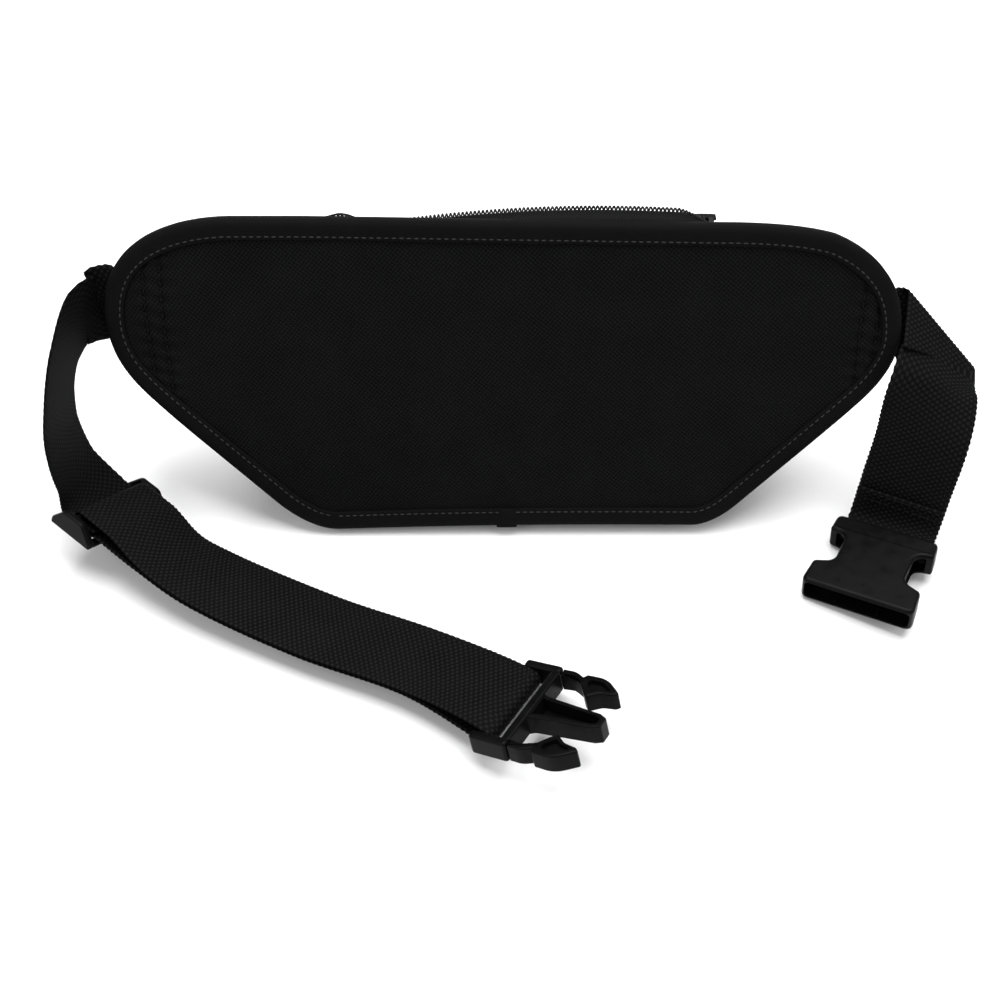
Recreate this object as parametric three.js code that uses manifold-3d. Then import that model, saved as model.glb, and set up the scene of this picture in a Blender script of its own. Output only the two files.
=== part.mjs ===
// Waist pack, standing on its lower edge with both straps laid out on the table.
// Millimetres, +Z up. The origin is the middle of the pack's flat foot, which rests on the table.
// +X runs along the pack, and +Y points from the wearer's side to the pouch's front.
import * as THREE from 'three';
import { mergeVertices } from 'three/addons/utils/BufferGeometryUtils.js';
import Module from 'manifold-3d';

const wasm = await Module();
wasm.setup();

// ---- driving dimensions -------------------------------------------------------------------------
const GAP = 0.4; // clearance kept between neighbouring pieces
const LEAN = THREE.MathUtils.degToRad(68); // angle between the back panel and the table
const PANEL_BASE = { y: -1.4, z: 2.4 }; // lower edge of the back panel
const WING_BEND = { from: 135, reach: 33, depth: 5 }; // the panel's ends bend away from the wearer
const FABRIC = 0.8; // woven shell fabric
const FOAM = 3;
const BINDING = { cover: 8.5, wall: 1 }; // tape folded over the panel's edge
const WEBBING = { width: 38, thickness: 1.4, columns: 6 };
const LOOP_PLAY = 0.5; // play between a bar and the webbing round it

const POUCH = { halfLength: 142, lowDepth: 64, highDepth: 18, height: 115, wall: 1.6, minDepth: 8 };
const POUCH_SEAM = { start: 124, panelX: 131, inset: 8, cornerX: 78 };
const POUCH_HEIGHT = { slantTop: 62, endTop: 94, top: 101, drop: 8 }; // of the front panel and the gusset
const FOOT = { middleY: 32, front: 3 }; // the foot's middle, and the front panel's start above it

const ZIP = { middleX: 35, topZ: 127.3, radius: 500, centreY: 69.5, left: -106, right: 86, closed: 1.35 };
const ZIP_OPEN = { rearSpread: 5.5, frontSpread: 7, frontDrop: 11, endDrop: 9 }; // the halves drawn apart
const COIL_RADIUS = 1.1;
const SLIDER = { x: -90, length: 11, halfWidth: 4.5, plate: 1.2, clear: 1.6 };
const PULL_TAB = { length: 20, width: 7, thickness: 1.6 };

const POCKET = { halfLength: 84, lowZ: 9, topZ: 78, lift: 3.2, zipRadius: 800, zipHalf: 78, zipZ: 84 };

const BUCKLE_BAR = { radius: 2.2 };
const PLUG = { x: 7.3, y: -102.7, z: 12.2, heading: -28.3, pitch: 18, roll: -8.2 };
const PLUG_SIZE = {
  thickness: 9.4, halfWidth: 23.6, innerHalf: 20, backEnd: -13.8, barAt: -9.5, crossEnd: 3,
};
const PRONG = { rootHalf: 5.4, tipHalf: 3.6, length: 30, wall: 1.5 };
const ARM = { rootAt: 3.4, tipAt: 31 };
const SOCKET = { x: 164.3, y: -10.9, z: 8.8, heading: -119, pitch: 0, roll: 6.4 };
const SOCKET_SIZE = {
  thickness: 12, backHalf: 22, mouthHalf: 24, length: 42.6, wall: 1.8, barAt: 4.4, barHalf: 1.4,
};
const GLIDE = { x: -173.9, y: -2, z: 16.7, heading: -37.3, pitch: -8.9, roll: -21.5 };
const TRI_GLIDE = { halfLength: 11.5, halfWidth: 23.2, innerHalf: 20, endBarLow: -4.4, endBarHigh: -2.2 };
const ANCHOR = { from: 134.5, leftTo: 162.6, rightTo: 150, leftLow: 77.2, rightLow: 68 }; // sewn strap ends

// ---- colours ------------------------------------------------------------------------------------
const LOOKS = {
  fabric: { color: 0x111214, roughness: 0.92, metalness: 0 },
  binding: { color: 0x1c1d20, roughness: 0.85, metalness: 0 },
  foam: { color: 0x2a2a2c, roughness: 1, metalness: 0 },
  lining: { color: 0x18191b, roughness: 0.7, metalness: 0 },
  webbing: { color: 0x1a1b1d, roughness: 0.8, metalness: 0 },
  zip: { color: 0x0d0e10, roughness: 0.4, metalness: 0 },
  slider: { color: 0x1b1b1d, roughness: 0.35, metalness: 0.6 },
  plastic: { color: 0x141518, roughness: 0.45, metalness: 0 },
};

const pack = new THREE.Group();

function addPiece(name, look, geometry, frame = null) {
  const piece = new THREE.Mesh(geometry, new THREE.MeshStandardMaterial(LOOKS[look]));
  piece.name = name;
  if (frame) {
    piece.position.copy(frame.origin);
    const turn = new THREE.Matrix4().makeBasis(frame.along, frame.across, frame.up);
    piece.quaternion.setFromRotationMatrix(turn);
  }
  pack.add(piece);
  return piece;
}

// ---- solids -------------------------------------------------------------------------------------
function toSolid(geometry) {
  const bare = geometry.clone();
  bare.deleteAttribute('normal');
  bare.deleteAttribute('uv');
  const merged = mergeVertices(bare, 1e-4);
  return new wasm.Manifold(new wasm.Mesh({
    numProp: 3,
    vertProperties: new Float32Array(merged.attributes.position.array),
    triVerts: new Uint32Array(merged.index.array),
  }));
}

function toGeometry(solid) {
  const mesh = solid.getMesh();
  const geometry = new THREE.BufferGeometry();
  geometry.setAttribute('position', new THREE.Float32BufferAttribute(mesh.vertProperties, 3));
  geometry.setIndex(Array.from(mesh.triVerts));
  return geometry;
}

function join(...geometries) {
  return toGeometry(geometries.map(toSolid).reduce((sum, next) => sum.add(next)));
}

function cut(body, ...tools) {
  return toGeometry(tools.map(toSolid).reduce((rest, tool) => rest.subtract(tool), toSolid(body)));
}

// A closed box between two opposite corners.
function block(low, high) {
  const box = new THREE.BoxGeometry(high[0] - low[0], high[1] - low[1], high[2] - low[2]);
  return box.translate((low[0] + high[0]) / 2, (low[1] + high[1]) / 2, (low[2] + high[2]) / 2);
}

// A flat outline in the XY plane, made thick from lowZ to highZ.
function slab(shape, lowZ, highZ, curveSegments = 5) {
  const flat = new THREE.ExtrudeGeometry(shape, { depth: highZ - lowZ, bevelEnabled: false, curveSegments });
  return flat.translate(0, 0, lowZ);
}

// A bar along Y, centred on x and z.
function crossBar(radius, halfLength, x, z, sides = 14) {
  return new THREE.CylinderGeometry(radius, radius, 2 * halfLength, sides).translate(x, 0, z);
}

// A closed skin over rings of points. Its ends close in a fan, in a strip (a sheet's folded ring has
// its far side in reverse order), or on each other as a loop.
function skin(rings, ends = 'fan') {
  const size = rings[0].length;
  const faces = [];
  const quad = (a, b, c, d) => faces.push(a, b, c, a, c, d);
  const last = ends === 'loop' ? rings.length : rings.length - 1;
  for (let i = 0; i < last; i += 1) {
    const [row, next] = [i * size, ((i + 1) % rings.length) * size];
    for (let j = 0; j < size; j += 1) {
      const k = (j + 1) % size;
      quad(row + j, row + k, next + k, next + j);
    }
  }
  const end = (rings.length - 1) * size;
  if (ends === 'fan') {
    for (let j = 1; j < size - 1; j += 1) faces.push(0, j + 1, j, end, end + j, end + j + 1);
  }
  if (ends === 'strip') {
    for (let j = 0; j < size / 2 - 1; j += 1) {
      const [k, m] = [size - 1 - j, size - 2 - j];
      quad(k, m, j + 1, j);
      quad(end + j, end + j + 1, end + m, end + k);
    }
  }
  const geometry = new THREE.BufferGeometry();
  const numbers = rings.flat().flatMap((p) => p.toArray());
  geometry.setAttribute('position', new THREE.Float32BufferAttribute(numbers, 3));
  geometry.setIndex(faces);
  return outward(geometry);
}

// Turns a closed geometry's faces round if they point into the body.
function outward(geometry) {
  const p = geometry.attributes.position;
  const index = geometry.index.array;
  const [a, b, c] = [new THREE.Vector3(), new THREE.Vector3(), new THREE.Vector3()];
  let volume = 0;
  for (let i = 0; i < index.length; i += 3) {
    a.fromBufferAttribute(p, index[i]);
    b.fromBufferAttribute(p, index[i + 1]);
    c.fromBufferAttribute(p, index[i + 2]);
    volume += a.dot(b.cross(c));
  }
  if (volume < 0) geometry.setIndex(Array.from(index).reverse());
  return geometry;
}

// A sheet between two surfaces of (u, v): columns run along v on the one side and back on the other.
function sheet(top, under, columns, rows) {
  const rings = [];
  for (let i = 0; i <= columns; i += 1) {
    const u = i / columns;
    const ring = [];
    for (let j = 0; j <= rows; j += 1) ring.push(top(u, j / rows));
    for (let j = rows; j >= 0; j -= 1) ring.push(under(u, j / rows));
    rings.push(ring);
  }
  return skin(rings, 'strip');
}

// ---- local frames -------------------------------------------------------------------------------
// A piece's own axes: x along, y across, z up, turned by heading, pitch and roll in degrees.
function frameOf({ x, y, z, heading, pitch, roll }) {
  const [h, p, r] = [heading, pitch, roll].map(THREE.MathUtils.degToRad);
  const along = new THREE.Vector3(Math.cos(p) * Math.cos(h), Math.cos(p) * Math.sin(h), Math.sin(p));
  const level = new THREE.Vector3(-Math.sin(h), Math.cos(h), 0);
  const lift = along.clone().cross(level);
  const across = level.multiplyScalar(Math.cos(r)).addScaledVector(lift, Math.sin(r));
  return { origin: new THREE.Vector3(x, y, z), along, across, up: along.clone().cross(across) };
}

function inFrame(frame, s, w, n) {
  return frame.origin.clone()
    .addScaledVector(frame.along, s)
    .addScaledVector(frame.across, w)
    .addScaledVector(frame.up, n);
}

// ---- back panel ---------------------------------------------------------------------------------
// A point of the leaning panel: x along it, height up it, depth away from the wearer.
function panelPoint(x, height, depth) {
  const past = Math.max(0, Math.abs(x) - WING_BEND.from) / WING_BEND.reach;
  const behind = depth + WING_BEND.depth * past * past;
  return new THREE.Vector3(
    x,
    PANEL_BASE.y + height * Math.cos(LEAN) + behind * Math.sin(LEAN),
    PANEL_BASE.z + height * Math.sin(LEAN) - behind * Math.cos(LEAN),
  );
}

// The bound edge of the panel: a long trapezium with rounded wings.
function panelOutline() {
  const edge = new THREE.Shape();
  edge.moveTo(-76, 0.6);
  edge.quadraticCurveTo(0, 3.4, 80, 2.6);
  edge.quadraticCurveTo(90, 2.8, 101, 14);
  edge.lineTo(148, 60.5);
  edge.quadraticCurveTo(163, 75, 162.8, 89);
  edge.quadraticCurveTo(162.3, 106, 153, 117);
  edge.quadraticCurveTo(145, 127, 131, 132.5);
  edge.quadraticCurveTo(115, 137, 84, 137);
  edge.lineTo(-84, 139.5);
  edge.lineTo(-112, 139.5);
  edge.bezierCurveTo(-140, 139.5, -168.6, 128, -168.6, 95);
  edge.bezierCurveTo(-168.6, 80, -161, 71, -153, 63);
  edge.lineTo(-101.6, 12.9);
  edge.quadraticCurveTo(-88, 0.6, -76, 0.6);
  return edge;
}

const outlinePoints = panelOutline().getSpacedPoints(120).slice(0, -1);

// The outline moved inwards, point by point along its own normals.
function insetOutline(distance) {
  const count = outlinePoints.length;
  return outlinePoints.map((point, i) => {
    const before = outlinePoints[(i + count - 1) % count];
    const after = outlinePoints[(i + 1) % count];
    const direction = after.clone().sub(before).normalize();
    return new THREE.Vector2(point.x - direction.y * distance, point.y + direction.x * distance);
  });
}

// The lowest and highest point of a closed outline at one x.
function spanAt(points, x) {
  let [low, high] = [Infinity, -Infinity];
  points.forEach((a, i) => {
    const b = points[(i + 1) % points.length];
    if ((a.x - x) * (b.x - x) > 0 || a.x === b.x) return;
    const height = a.y + ((x - a.x) / (b.x - a.x)) * (b.y - a.y);
    low = Math.min(low, height);
    high = Math.max(high, height);
  });
  return [low, high];
}

// One layer of the panel, filling an outline between two depths.
function panelLayer(inset, near, far) {
  const edge = insetOutline(inset);
  const left = Math.min(...edge.map((p) => p.x)) + 0.6;
  const right = Math.max(...edge.map((p) => p.x)) - 0.6;
  const at = (u, v, depth) => {
    const x = (left + right) / 2 - ((right - left) / 2) * Math.cos(Math.PI * u);
    const [low, high] = spanAt(edge, x);
    return panelPoint(x, low + (high - low) * v, depth);
  };
  return sheet((u, v) => at(u, v, near), (u, v) => at(u, v, far), 40, 3);
}

const liningStart = FABRIC + FOAM + 2 * GAP;
const panelBack = liningStart + FABRIC;
const edgeInset = BINDING.wall + GAP;

function edgeBinding() {
  const { cover, wall } = BINDING;
  const front = -GAP;
  const back = panelBack + GAP;
  const section = [
    [cover, front], [cover, front - wall], [wall, front - wall], [0, front + 0.6],
    [0, back - 0.6], [wall, back + wall], [cover, back + wall], [cover, back],
    [wall, back], [wall, front],
  ];
  const rims = section.map(([inset]) => insetOutline(inset));
  const rings = outlinePoints.map((_, i) => (
    section.map(([, depth], j) => panelPoint(rims[j][i].x, rims[j][i].y, depth))));
  return skin(rings, 'loop');
}

// ---- pouch --------------------------------------------------------------------------------------
const behindBinding = panelBack + GAP + BINDING.wall + GAP;

// How far the pouch's front stands behind the panel at one place, measured level.
function pouchDepth(x, z) {
  const taper = 1 - Math.min(1, Math.abs(x) / POUCH.halfLength) ** 4;
  const fall = (POUCH.lowDepth - POUCH.highDepth) * (Math.max(0, z) / POUCH.height) ** 2.2;
  return POUCH.minDepth + taper * (POUCH.lowDepth - fall);
}

function pouchFront(x, z, lift = 0) {
  const back = PANEL_BASE.y + (z - PANEL_BASE.z) / Math.tan(LEAN) + behindBinding / Math.sin(LEAN);
  return new THREE.Vector3(x, back + pouchDepth(x, z) + lift, z);
}

const frontTop = (x) => POUCH_HEIGHT.top - POUCH_HEIGHT.drop * (x / POUCH.halfLength) ** 2;

// Half the length of the front panel at one height: slanted lower corners, upright ends above.
function frontHalf(z) {
  const slope = (POUCH_SEAM.start - POUCH_SEAM.cornerX) / POUCH_HEIGHT.slantTop;
  return Math.min(POUCH_SEAM.start, POUCH_SEAM.cornerX + slope * Math.max(0, z));
}

function frontPanel() {
  const at = (u, v, lift) => {
    const x = (2 * u - 1) * (frontHalf(FOOT.front + v * (POUCH_HEIGHT.top - FOOT.front)) - GAP);
    return pouchFront(x, FOOT.front + v * (frontTop(x) - FOOT.front), lift);
  };
  return sheet((u, v) => at(u, v, 0), (u, v) => at(u, v, -POUCH.wall), 28, 10);
}

// The strip that joins the back panel to the front panel: up one end, along the foot, up the other.
// t runs along it and v from the back panel to the front panel.
function gussetPoint(t, v) {
  const side = Math.sign(t - 0.5);
  const away = Math.abs(2 * t - 1);
  const footShare = 0.45;
  const slantShare = 0.75;
  const slant = Math.min(1, Math.max(0, (away - footShare) / (slantShare - footShare)));
  const upright = Math.max(0, (away - slantShare) / (1 - slantShare));
  const flat = Math.min(1, away / footShare);
  const x = side * (POUCH_SEAM.cornerX * flat + (POUCH_SEAM.start - POUCH_SEAM.cornerX) * slant);
  const z = POUCH_HEIGHT.slantTop * slant + (POUCH_HEIGHT.endTop - POUCH_HEIGHT.slantTop) * upright;
  const outer = pouchFront(x, Math.max(z, FOOT.front), -POUCH.wall - 2 * GAP).setZ(z);
  const seamX = side * (POUCH_SEAM.cornerX * flat + (POUCH_SEAM.panelX - POUCH_SEAM.cornerX) * slant);
  const [low, high] = spanAt(outlinePoints, seamX);
  const start = low + POUCH_SEAM.inset + 3 * slant;
  const height = start + (high - POUCH_SEAM.inset - start) * upright;
  const inner = panelPoint(seamX, height, behindBinding + 2 * GAP);
  const p = inner.clone().lerp(outer, v);
  const level = outer.z + (inner.z - outer.z) * Math.max(0, 1 - 7 * v);
  return p.setZ(THREE.MathUtils.lerp(level, p.z, THREE.MathUtils.smoothstep(slant, 0, 0.4)));
}

function lowerGusset() {
  const inside = (t, v) => {
    const [before, after] = [Math.max(0, t - 0.01), Math.min(1, t + 0.01)];
    const run = gussetPoint(after, v).sub(gussetPoint(before, v));
    const normal = new THREE.Vector3(-run.z, 0, run.x).normalize();
    return gussetPoint(t, v).addScaledVector(normal, POUCH.wall);
  };
  return sheet(gussetPoint, inside, 40, 7);
}

// ---- main zip -----------------------------------------------------------------------------------
const { smoothstep } = THREE.MathUtils;
const zipHeight = (x) => ZIP.topZ - ZIP.radius + Math.sqrt(ZIP.radius ** 2 - (x - ZIP.middleX) ** 2);

// The halves part to the right of the slider, and meet again at the right end.
const openness = (x) => smoothstep(x, -99, -62) * (1 - smoothstep(x, 70, 86));
const endDrop = (x) => ZIP_OPEN.endDrop * smoothstep(x, 68, 86);
const rearHalf = {
  y: (x) => ZIP.centreY - ZIP.closed - (ZIP_OPEN.rearSpread - ZIP.closed) * openness(x),
  z: (x) => zipHeight(x) - endDrop(x),
};
const frontHalfOfZip = {
  y: (x) => ZIP.centreY + ZIP.closed + (ZIP_OPEN.frontSpread - ZIP.closed) * openness(x),
  z: (x) => {
    const rise = (ZIP_OPEN.frontDrop - ZIP_OPEN.endDrop) * smoothstep(x, 68, 86);
    return zipHeight(x) - Math.max(endDrop(x), ZIP_OPEN.frontDrop * smoothstep(x, -74, -54) - rise);
  },
};
const zipX = (u) => ZIP.left + u * (ZIP.right - ZIP.left);

// A strip from one line to another along the zip; each line gives (y, z) at an x. Its underside lies
// below it, and also further inwards by lean.
function zipStrip(lineA, lineB, thickness, lean = 0) {
  const [columns, rows] = [30, 2];
  const at = (u, v, under) => {
    const x = zipX(u);
    const [ya, za] = lineA(x);
    const [yb, zb] = lineB(x);
    return new THREE.Vector3(x, ya + (yb - ya) * v - under * lean, za + (zb - za) * v - under);
  };
  return sheet((u, v) => at(u, v, 0), (u, v) => at(u, v, thickness), columns, rows);
}

const tape = { width: 3.5, high: 0.3, thickness: 0.8, rearFall: 3.4, frontFall: 2 };
const STRIP = { thickness: 1.2, below: 1.5, frontLean: 0.9 }; // fabric sewn a little below the zip's tape
const rearTapeEdge = (x) => [rearHalf.y(x) - COIL_RADIUS - GAP, rearHalf.z(x) + tape.high];
const rearTapeSeam = (x) => [
  rearTapeEdge(x)[0] - tape.width,
  rearTapeEdge(x)[1] - tape.rearFall * openness(x),
];
const frontTapeEdge = (x) => [frontHalfOfZip.y(x) + COIL_RADIUS + GAP, frontHalfOfZip.z(x) + tape.high];
const frontTapeSeam = (x) => [
  frontTapeEdge(x)[0] + tape.width - 2 * openness(x),
  frontTapeEdge(x)[1] - tape.frontFall * openness(x),
];

function rearStripFoot(x) {
  const [, high] = spanAt(outlinePoints, x);
  const seam = panelPoint(x, high - POUCH_SEAM.inset, behindBinding);
  return [seam.y, seam.z];
}

function frontStripFoot(x) {
  const seam = pouchFront(x, frontTop(x), -POUCH.wall);
  return [seam.y, seam.z + POUCH.wall + GAP];
}

const shiftLine = (line, dy, dz = 0) => (x) => [line(x)[0] + dy, line(x)[1] + dz];

// The fabric that closes the pouch's top between an end of the zip and an end of the pouch.
function topEnd(from, to) {
  const crown = 0.5;
  const at = (u, v, down) => {
    const x = from + (to - from) * u;
    const [ya, za] = rearStripFoot(x);
    const [yb, zb] = frontStripFoot(x);
    const rise = crown * Math.sin(Math.PI * v);
    return new THREE.Vector3(x, ya + (yb - ya) * v, za + (zb - za) * v + rise - down);
  };
  return sheet((u, v) => at(u, v, 0), (u, v) => at(u, v, STRIP.thickness), 6, 6);
}

function zipCoil(half) {
  const rings = [];
  const steps = 40;
  for (let i = 0; i <= steps; i += 1) {
    const x = ZIP.left + 1 + (i / steps) * (ZIP.right - ZIP.left - 6);
    rings.push([0, 1, 2, 3, 4, 5].map((k) => new THREE.Vector3(
      x,
      half.y(x) + COIL_RADIUS * Math.cos((k * Math.PI) / 3),
      half.z(x) + COIL_RADIUS * Math.sin((k * Math.PI) / 3),
    )));
  }
  return skin(rings);
}

// A slider: two plates over and under the teeth, held apart by a wedge at the open end.
function sliderBody({ length, halfWidth, plate, clear }) {
  const outline = new THREE.Shape();
  outline.moveTo(-length / 2, -halfWidth * 0.72);
  outline.quadraticCurveTo(0, -halfWidth * 0.8, length / 2, -halfWidth);
  outline.lineTo(length / 2, halfWidth);
  outline.quadraticCurveTo(0, halfWidth * 0.8, -length / 2, halfWidth * 0.72);
  outline.closePath();
  const wedge = block([length / 2 - 2.4, -0.8, -clear - 0.1], [length / 2 - 0.4, 0.8, clear + 0.1]);
  const bail = cut(
    block([-3, -1.6, clear + plate - 0.1], [3, 1.6, clear + plate + 3]),
    crossBar(0.9, 5, 0, clear + plate + 1.3, 10),
  );
  return join(slab(outline, clear, clear + plate), slab(outline, -clear - plate, -clear), wedge, bail);
}

// A pull tab lying towards -x from its pivot: a fork round the slider's bail, with a pin through it.
function pullTab({ length, width, thickness }) {
  const outline = new THREE.Shape();
  const half = width / 2;
  outline.moveTo(0.9, -half);
  outline.lineTo(0.9, half);
  outline.lineTo(-length + half, half);
  outline.absarc(-length + half, 0, half, Math.PI / 2, (3 * Math.PI) / 2);
  outline.closePath();
  const fork = block([-3.8, -2, -thickness], [2, 2, thickness]);
  const tab = cut(slab(outline, -thickness / 2, thickness / 2), fork);
  return join(tab, crossBar(0.55, half - 0.5, 0, 0, 8));
}

// ---- webbing ------------------------------------------------------------------------------------
// A strap's middle line and its two edges, through pairs of edge points.
class StrapPath {
  constructor(pairs) {
    const through = (points) => (
      new THREE.CatmullRomCurve3(points.map((p) => new THREE.Vector3(...p)), false, 'centripetal'));
    this.inner = through(pairs.map(([p]) => p));
    this.outer = through(pairs.map(([, p]) => p));
  }

  frame(t) {
    const middle = (q) => this.inner.getPoint(q).lerp(this.outer.getPoint(q), 0.5);
    const step = 0.004;
    const along = middle(Math.min(1, t + step)).sub(middle(Math.max(0, t - step))).normalize();
    const across = this.inner.getPoint(t).sub(this.outer.getPoint(t));
    across.addScaledVector(along, -across.dot(along)).normalize();
    return { origin: middle(t), along, across, up: along.clone().cross(across) };
  }
}

// A strap's section: a row across it on the one side and back on the other. Outside is the side that
// faces away from a loop.
function sectionThrough(pointAt) {
  const { columns, thickness } = WEBBING;
  const row = Array.from({ length: columns + 1 }, (_, i) => i / columns - 0.5);
  const inside = row.map((a) => pointAt(a, -thickness / 2));
  const outside = row.reverse().map((a) => pointAt(a, thickness / 2));
  return [...inside, ...outside];
}

function strapSection(centre, across, outside) {
  return sectionThrough((a, b) => (
    centre.clone().addScaledVector(across, a * WEBBING.width).addScaledVector(outside, b)));
}

// Sections along a path from one place to another; offset lifts the strap off the path.
function strapRun(path, from, to, steps, offset, side) {
  return Array.from({ length: steps + 1 }, (_, i) => {
    const t = from + ((to - from) * i) / steps;
    const frame = path.frame(t);
    return strapSection(inFrame(frame, 0, 0, offset(t)), frame.across, frame.up.clone().multiplyScalar(side));
  });
}

// Sections round a bar, turning in the plane of a frame's along and up directions.
function strapTurn(frame, barAt, barHigh, radius, startAngle, endAngle, steps = 8) {
  return Array.from({ length: steps + 1 }, (_, i) => {
    const angle = THREE.MathUtils.degToRad(startAngle + ((endAngle - startAngle) * i) / steps);
    const out = frame.along.clone()
      .multiplyScalar(Math.cos(angle))
      .addScaledVector(frame.up, Math.sin(angle));
    const centre = inFrame(frame, barAt, 0, barHigh).addScaledVector(out, radius);
    return strapSection(centre, frame.across, out);
  });
}

const plugFrame = frameOf(PLUG);
const socketFrame = frameOf(SOCKET);
// The strap's own axes at the socket: its inner edge is on the other hand from the socket's.
const socketStrap = { ...socketFrame, across: socketFrame.across.clone().negate() };
const loopRadius = BUCKLE_BAR.radius + LOOP_PLAY + WEBBING.thickness / 2;
const socketLoopRadius = Math.SQRT2 * SOCKET_SIZE.barHalf + 0.3 + WEBBING.thickness / 2;
const layerStep = WEBBING.thickness + GAP;

// A pair of edge points square across a frame.
function edgePair(frame, s, n) {
  const half = WEBBING.width / 2;
  return [inFrame(frame, s, half, n).toArray(), inFrame(frame, s, -half, n).toArray()];
}

const glideFrame = frameOf(GLIDE);

const leftPath = new StrapPath([
  [[-167.5, 41.5, 72], [-163.5, 53, 105.5]],
  [[-175.5, 52, 68.5], [-172.5, 48.5, 104.5]],
  [[-181.3, 49, 69], [-179.5, 38, 105]],
  [[-185.9, 43, 65.3], [-185.7, 16, 92.2]],
  [[-190, 32, 49.6], [-189.5, 4, 75.3]],
  [[-190, 28.5, 35], [-192.5, -2, 58]],
  [[-185, 25.5, 19.5], [-193, -5.5, 40]],
  edgePair(glideFrame, -10, 0),
  edgePair(glideFrame, 14, 0),
  edgePair(glideFrame, 34, 0),
  [[-118, -19.5, 4.3], [-134.5, -52, 14]],
  [[-71.5, -42, 2.8], [-89, -74, 10.2]],
  [[-22, -63, 3.2], [-42, -94, 10.5]],
  edgePair(plugFrame, PLUG_SIZE.barAt, -loopRadius),
]);

// The right strap leaves the wing level, and a slanted fold beside the wing's end turns it downwards.
// top is the crease's upper end; inner and outer are the strap's edges level with its lower end.
const FOLD = {
  top: new THREE.Vector3(166.3, 49, 95),
  inner: new THREE.Vector3(162.4, 27.5, 83.1),
  outer: new THREE.Vector3(197, 30, 67.5),
  radius: 2.5,
  turn: THREE.MathUtils.degToRad(140),
  reach: 33,
};

const rightPath = new StrapPath([
  [FOLD.inner.toArray(), FOLD.outer.toArray()],
  [[158.2, 21, 76.7], [194.6, 17.7, 66.8]],
  [[155.7, 16, 50], [191.9, 0.5, 52]],
  [[153.2, 10, 27.4], [188.6, -6, 28.8]],
  edgePair(socketStrap, -8, 0),
  edgePair(socketStrap, SOCKET_SIZE.barAt, -socketLoopRadius),
]);

// A strap's parameter at a place counted in pairs of edge points.
const leftAt = (count) => count / 13;

function leftWebbing() {
  const level = (t) => layerStep + (2 * loopRadius - layerStep) * smoothstep(t, 0.91, 1);
  const running = strapRun(leftPath, 0, 1, 66, () => 0, -1);
  const turn = strapTurn(plugFrame, PLUG_SIZE.barAt, 0, loopRadius, -80, 80);
  const back = strapRun(leftPath, 0.995, leftAt(9.3), 26, level, 1);
  return skin([...running, ...turn, ...back]);
}

// A section of the folded part, a distance up the strap from the crease's lower end.
function foldSection(distance) {
  const { top, inner, outer, radius, turn } = FOLD;
  const across = outer.clone().sub(inner).normalize();
  const down = inner.clone().sub(top).normalize();
  const crease = outer.clone().sub(top).normalize();
  const behind = across.clone().cross(down).normalize();
  const beyond = crease.clone().multiplyScalar(down.dot(crease)).sub(down).normalize();
  return sectionThrough((a, b) => {
    const flat = inner.clone().lerp(outer, 0.5 - a).addScaledVector(down, -distance).sub(top);
    const past = Math.max(0, flat.dot(beyond));
    const angle = Math.min(past / radius, turn);
    const rest = past - angle * radius;
    const before = Math.min(0, flat.dot(beyond));
    return top.clone()
      .addScaledVector(crease, flat.dot(crease))
      .addScaledVector(beyond, before + (radius - b) * Math.sin(angle) + rest * Math.cos(angle))
      .addScaledVector(behind, radius - (radius - b) * Math.cos(angle) + rest * Math.sin(angle));
  });
}

function rightWebbing() {
  const middle = ANCHOR.rightLow + WEBBING.width / 2;
  const centre = panelPoint(ANCHOR.rightTo + GAP, middle, behindBinding + 2 * GAP + WEBBING.thickness / 2);
  const rootUp = new THREE.Vector3(0, Math.cos(LEAN), Math.sin(LEAN));
  const root = strapSection(centre, rootUp, new THREE.Vector3(0, -Math.sin(LEAN), Math.cos(LEAN)));
  const folded = Array.from({ length: 23 }, (_, i) => foldSection(FOLD.reach * (1 - i / 23)));
  const above = (t) => -layerStep - (2 * socketLoopRadius - layerStep) * smoothstep(t, 0.86, 1);
  const running = strapRun(rightPath, 0, 1, 34, () => 0, 1);
  const turn = strapTurn(socketStrap, SOCKET_SIZE.barAt, 0, socketLoopRadius, -80, 80);
  const back = strapRun(rightPath, 0.99, 0.66, 14, above, -1);
  return skin([root, ...folded, ...running, ...turn, ...back]);
}

const centreBar = { radius: 1.3, high: WEBBING.thickness / 2 + 2 * GAP + WEBBING.thickness + 1.3 };

// The strap's tail end, turned back round the adjuster's centre bar.
function adjusterLoop() {
  const radius = centreBar.radius + GAP + WEBBING.thickness / 2;
  const leg = (s, high, side) => {
    const outside = glideFrame.up.clone().multiplyScalar(side);
    return strapSection(inFrame(glideFrame, s, 0, high), glideFrame.across, outside);
  };
  const top = centreBar.high + radius;
  const upper = [[15, 0.48], [11, 0.62], [7, 0.88], [4, 0.98]].map(([s, share]) => leg(s, top * share, 1));
  const turn = strapTurn(glideFrame, 0, centreBar.high, radius, 90, 270);
  return skin([...upper, ...turn, leg(4, centreBar.high - radius, -1)]);
}

// The end of a strap that is sewn flat behind the wing.
function strapAnchor(side, to, low) {
  const near = behindBinding + GAP;
  const at = (u, v, depth) => {
    const x = side * (ANCHOR.from + (to - ANCHOR.from) * u);
    return panelPoint(x, low + WEBBING.width * v, depth);
  };
  return sheet((u, v) => at(u, v, near), (u, v) => at(u, v, near + WEBBING.thickness), 6, 2);
}

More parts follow.
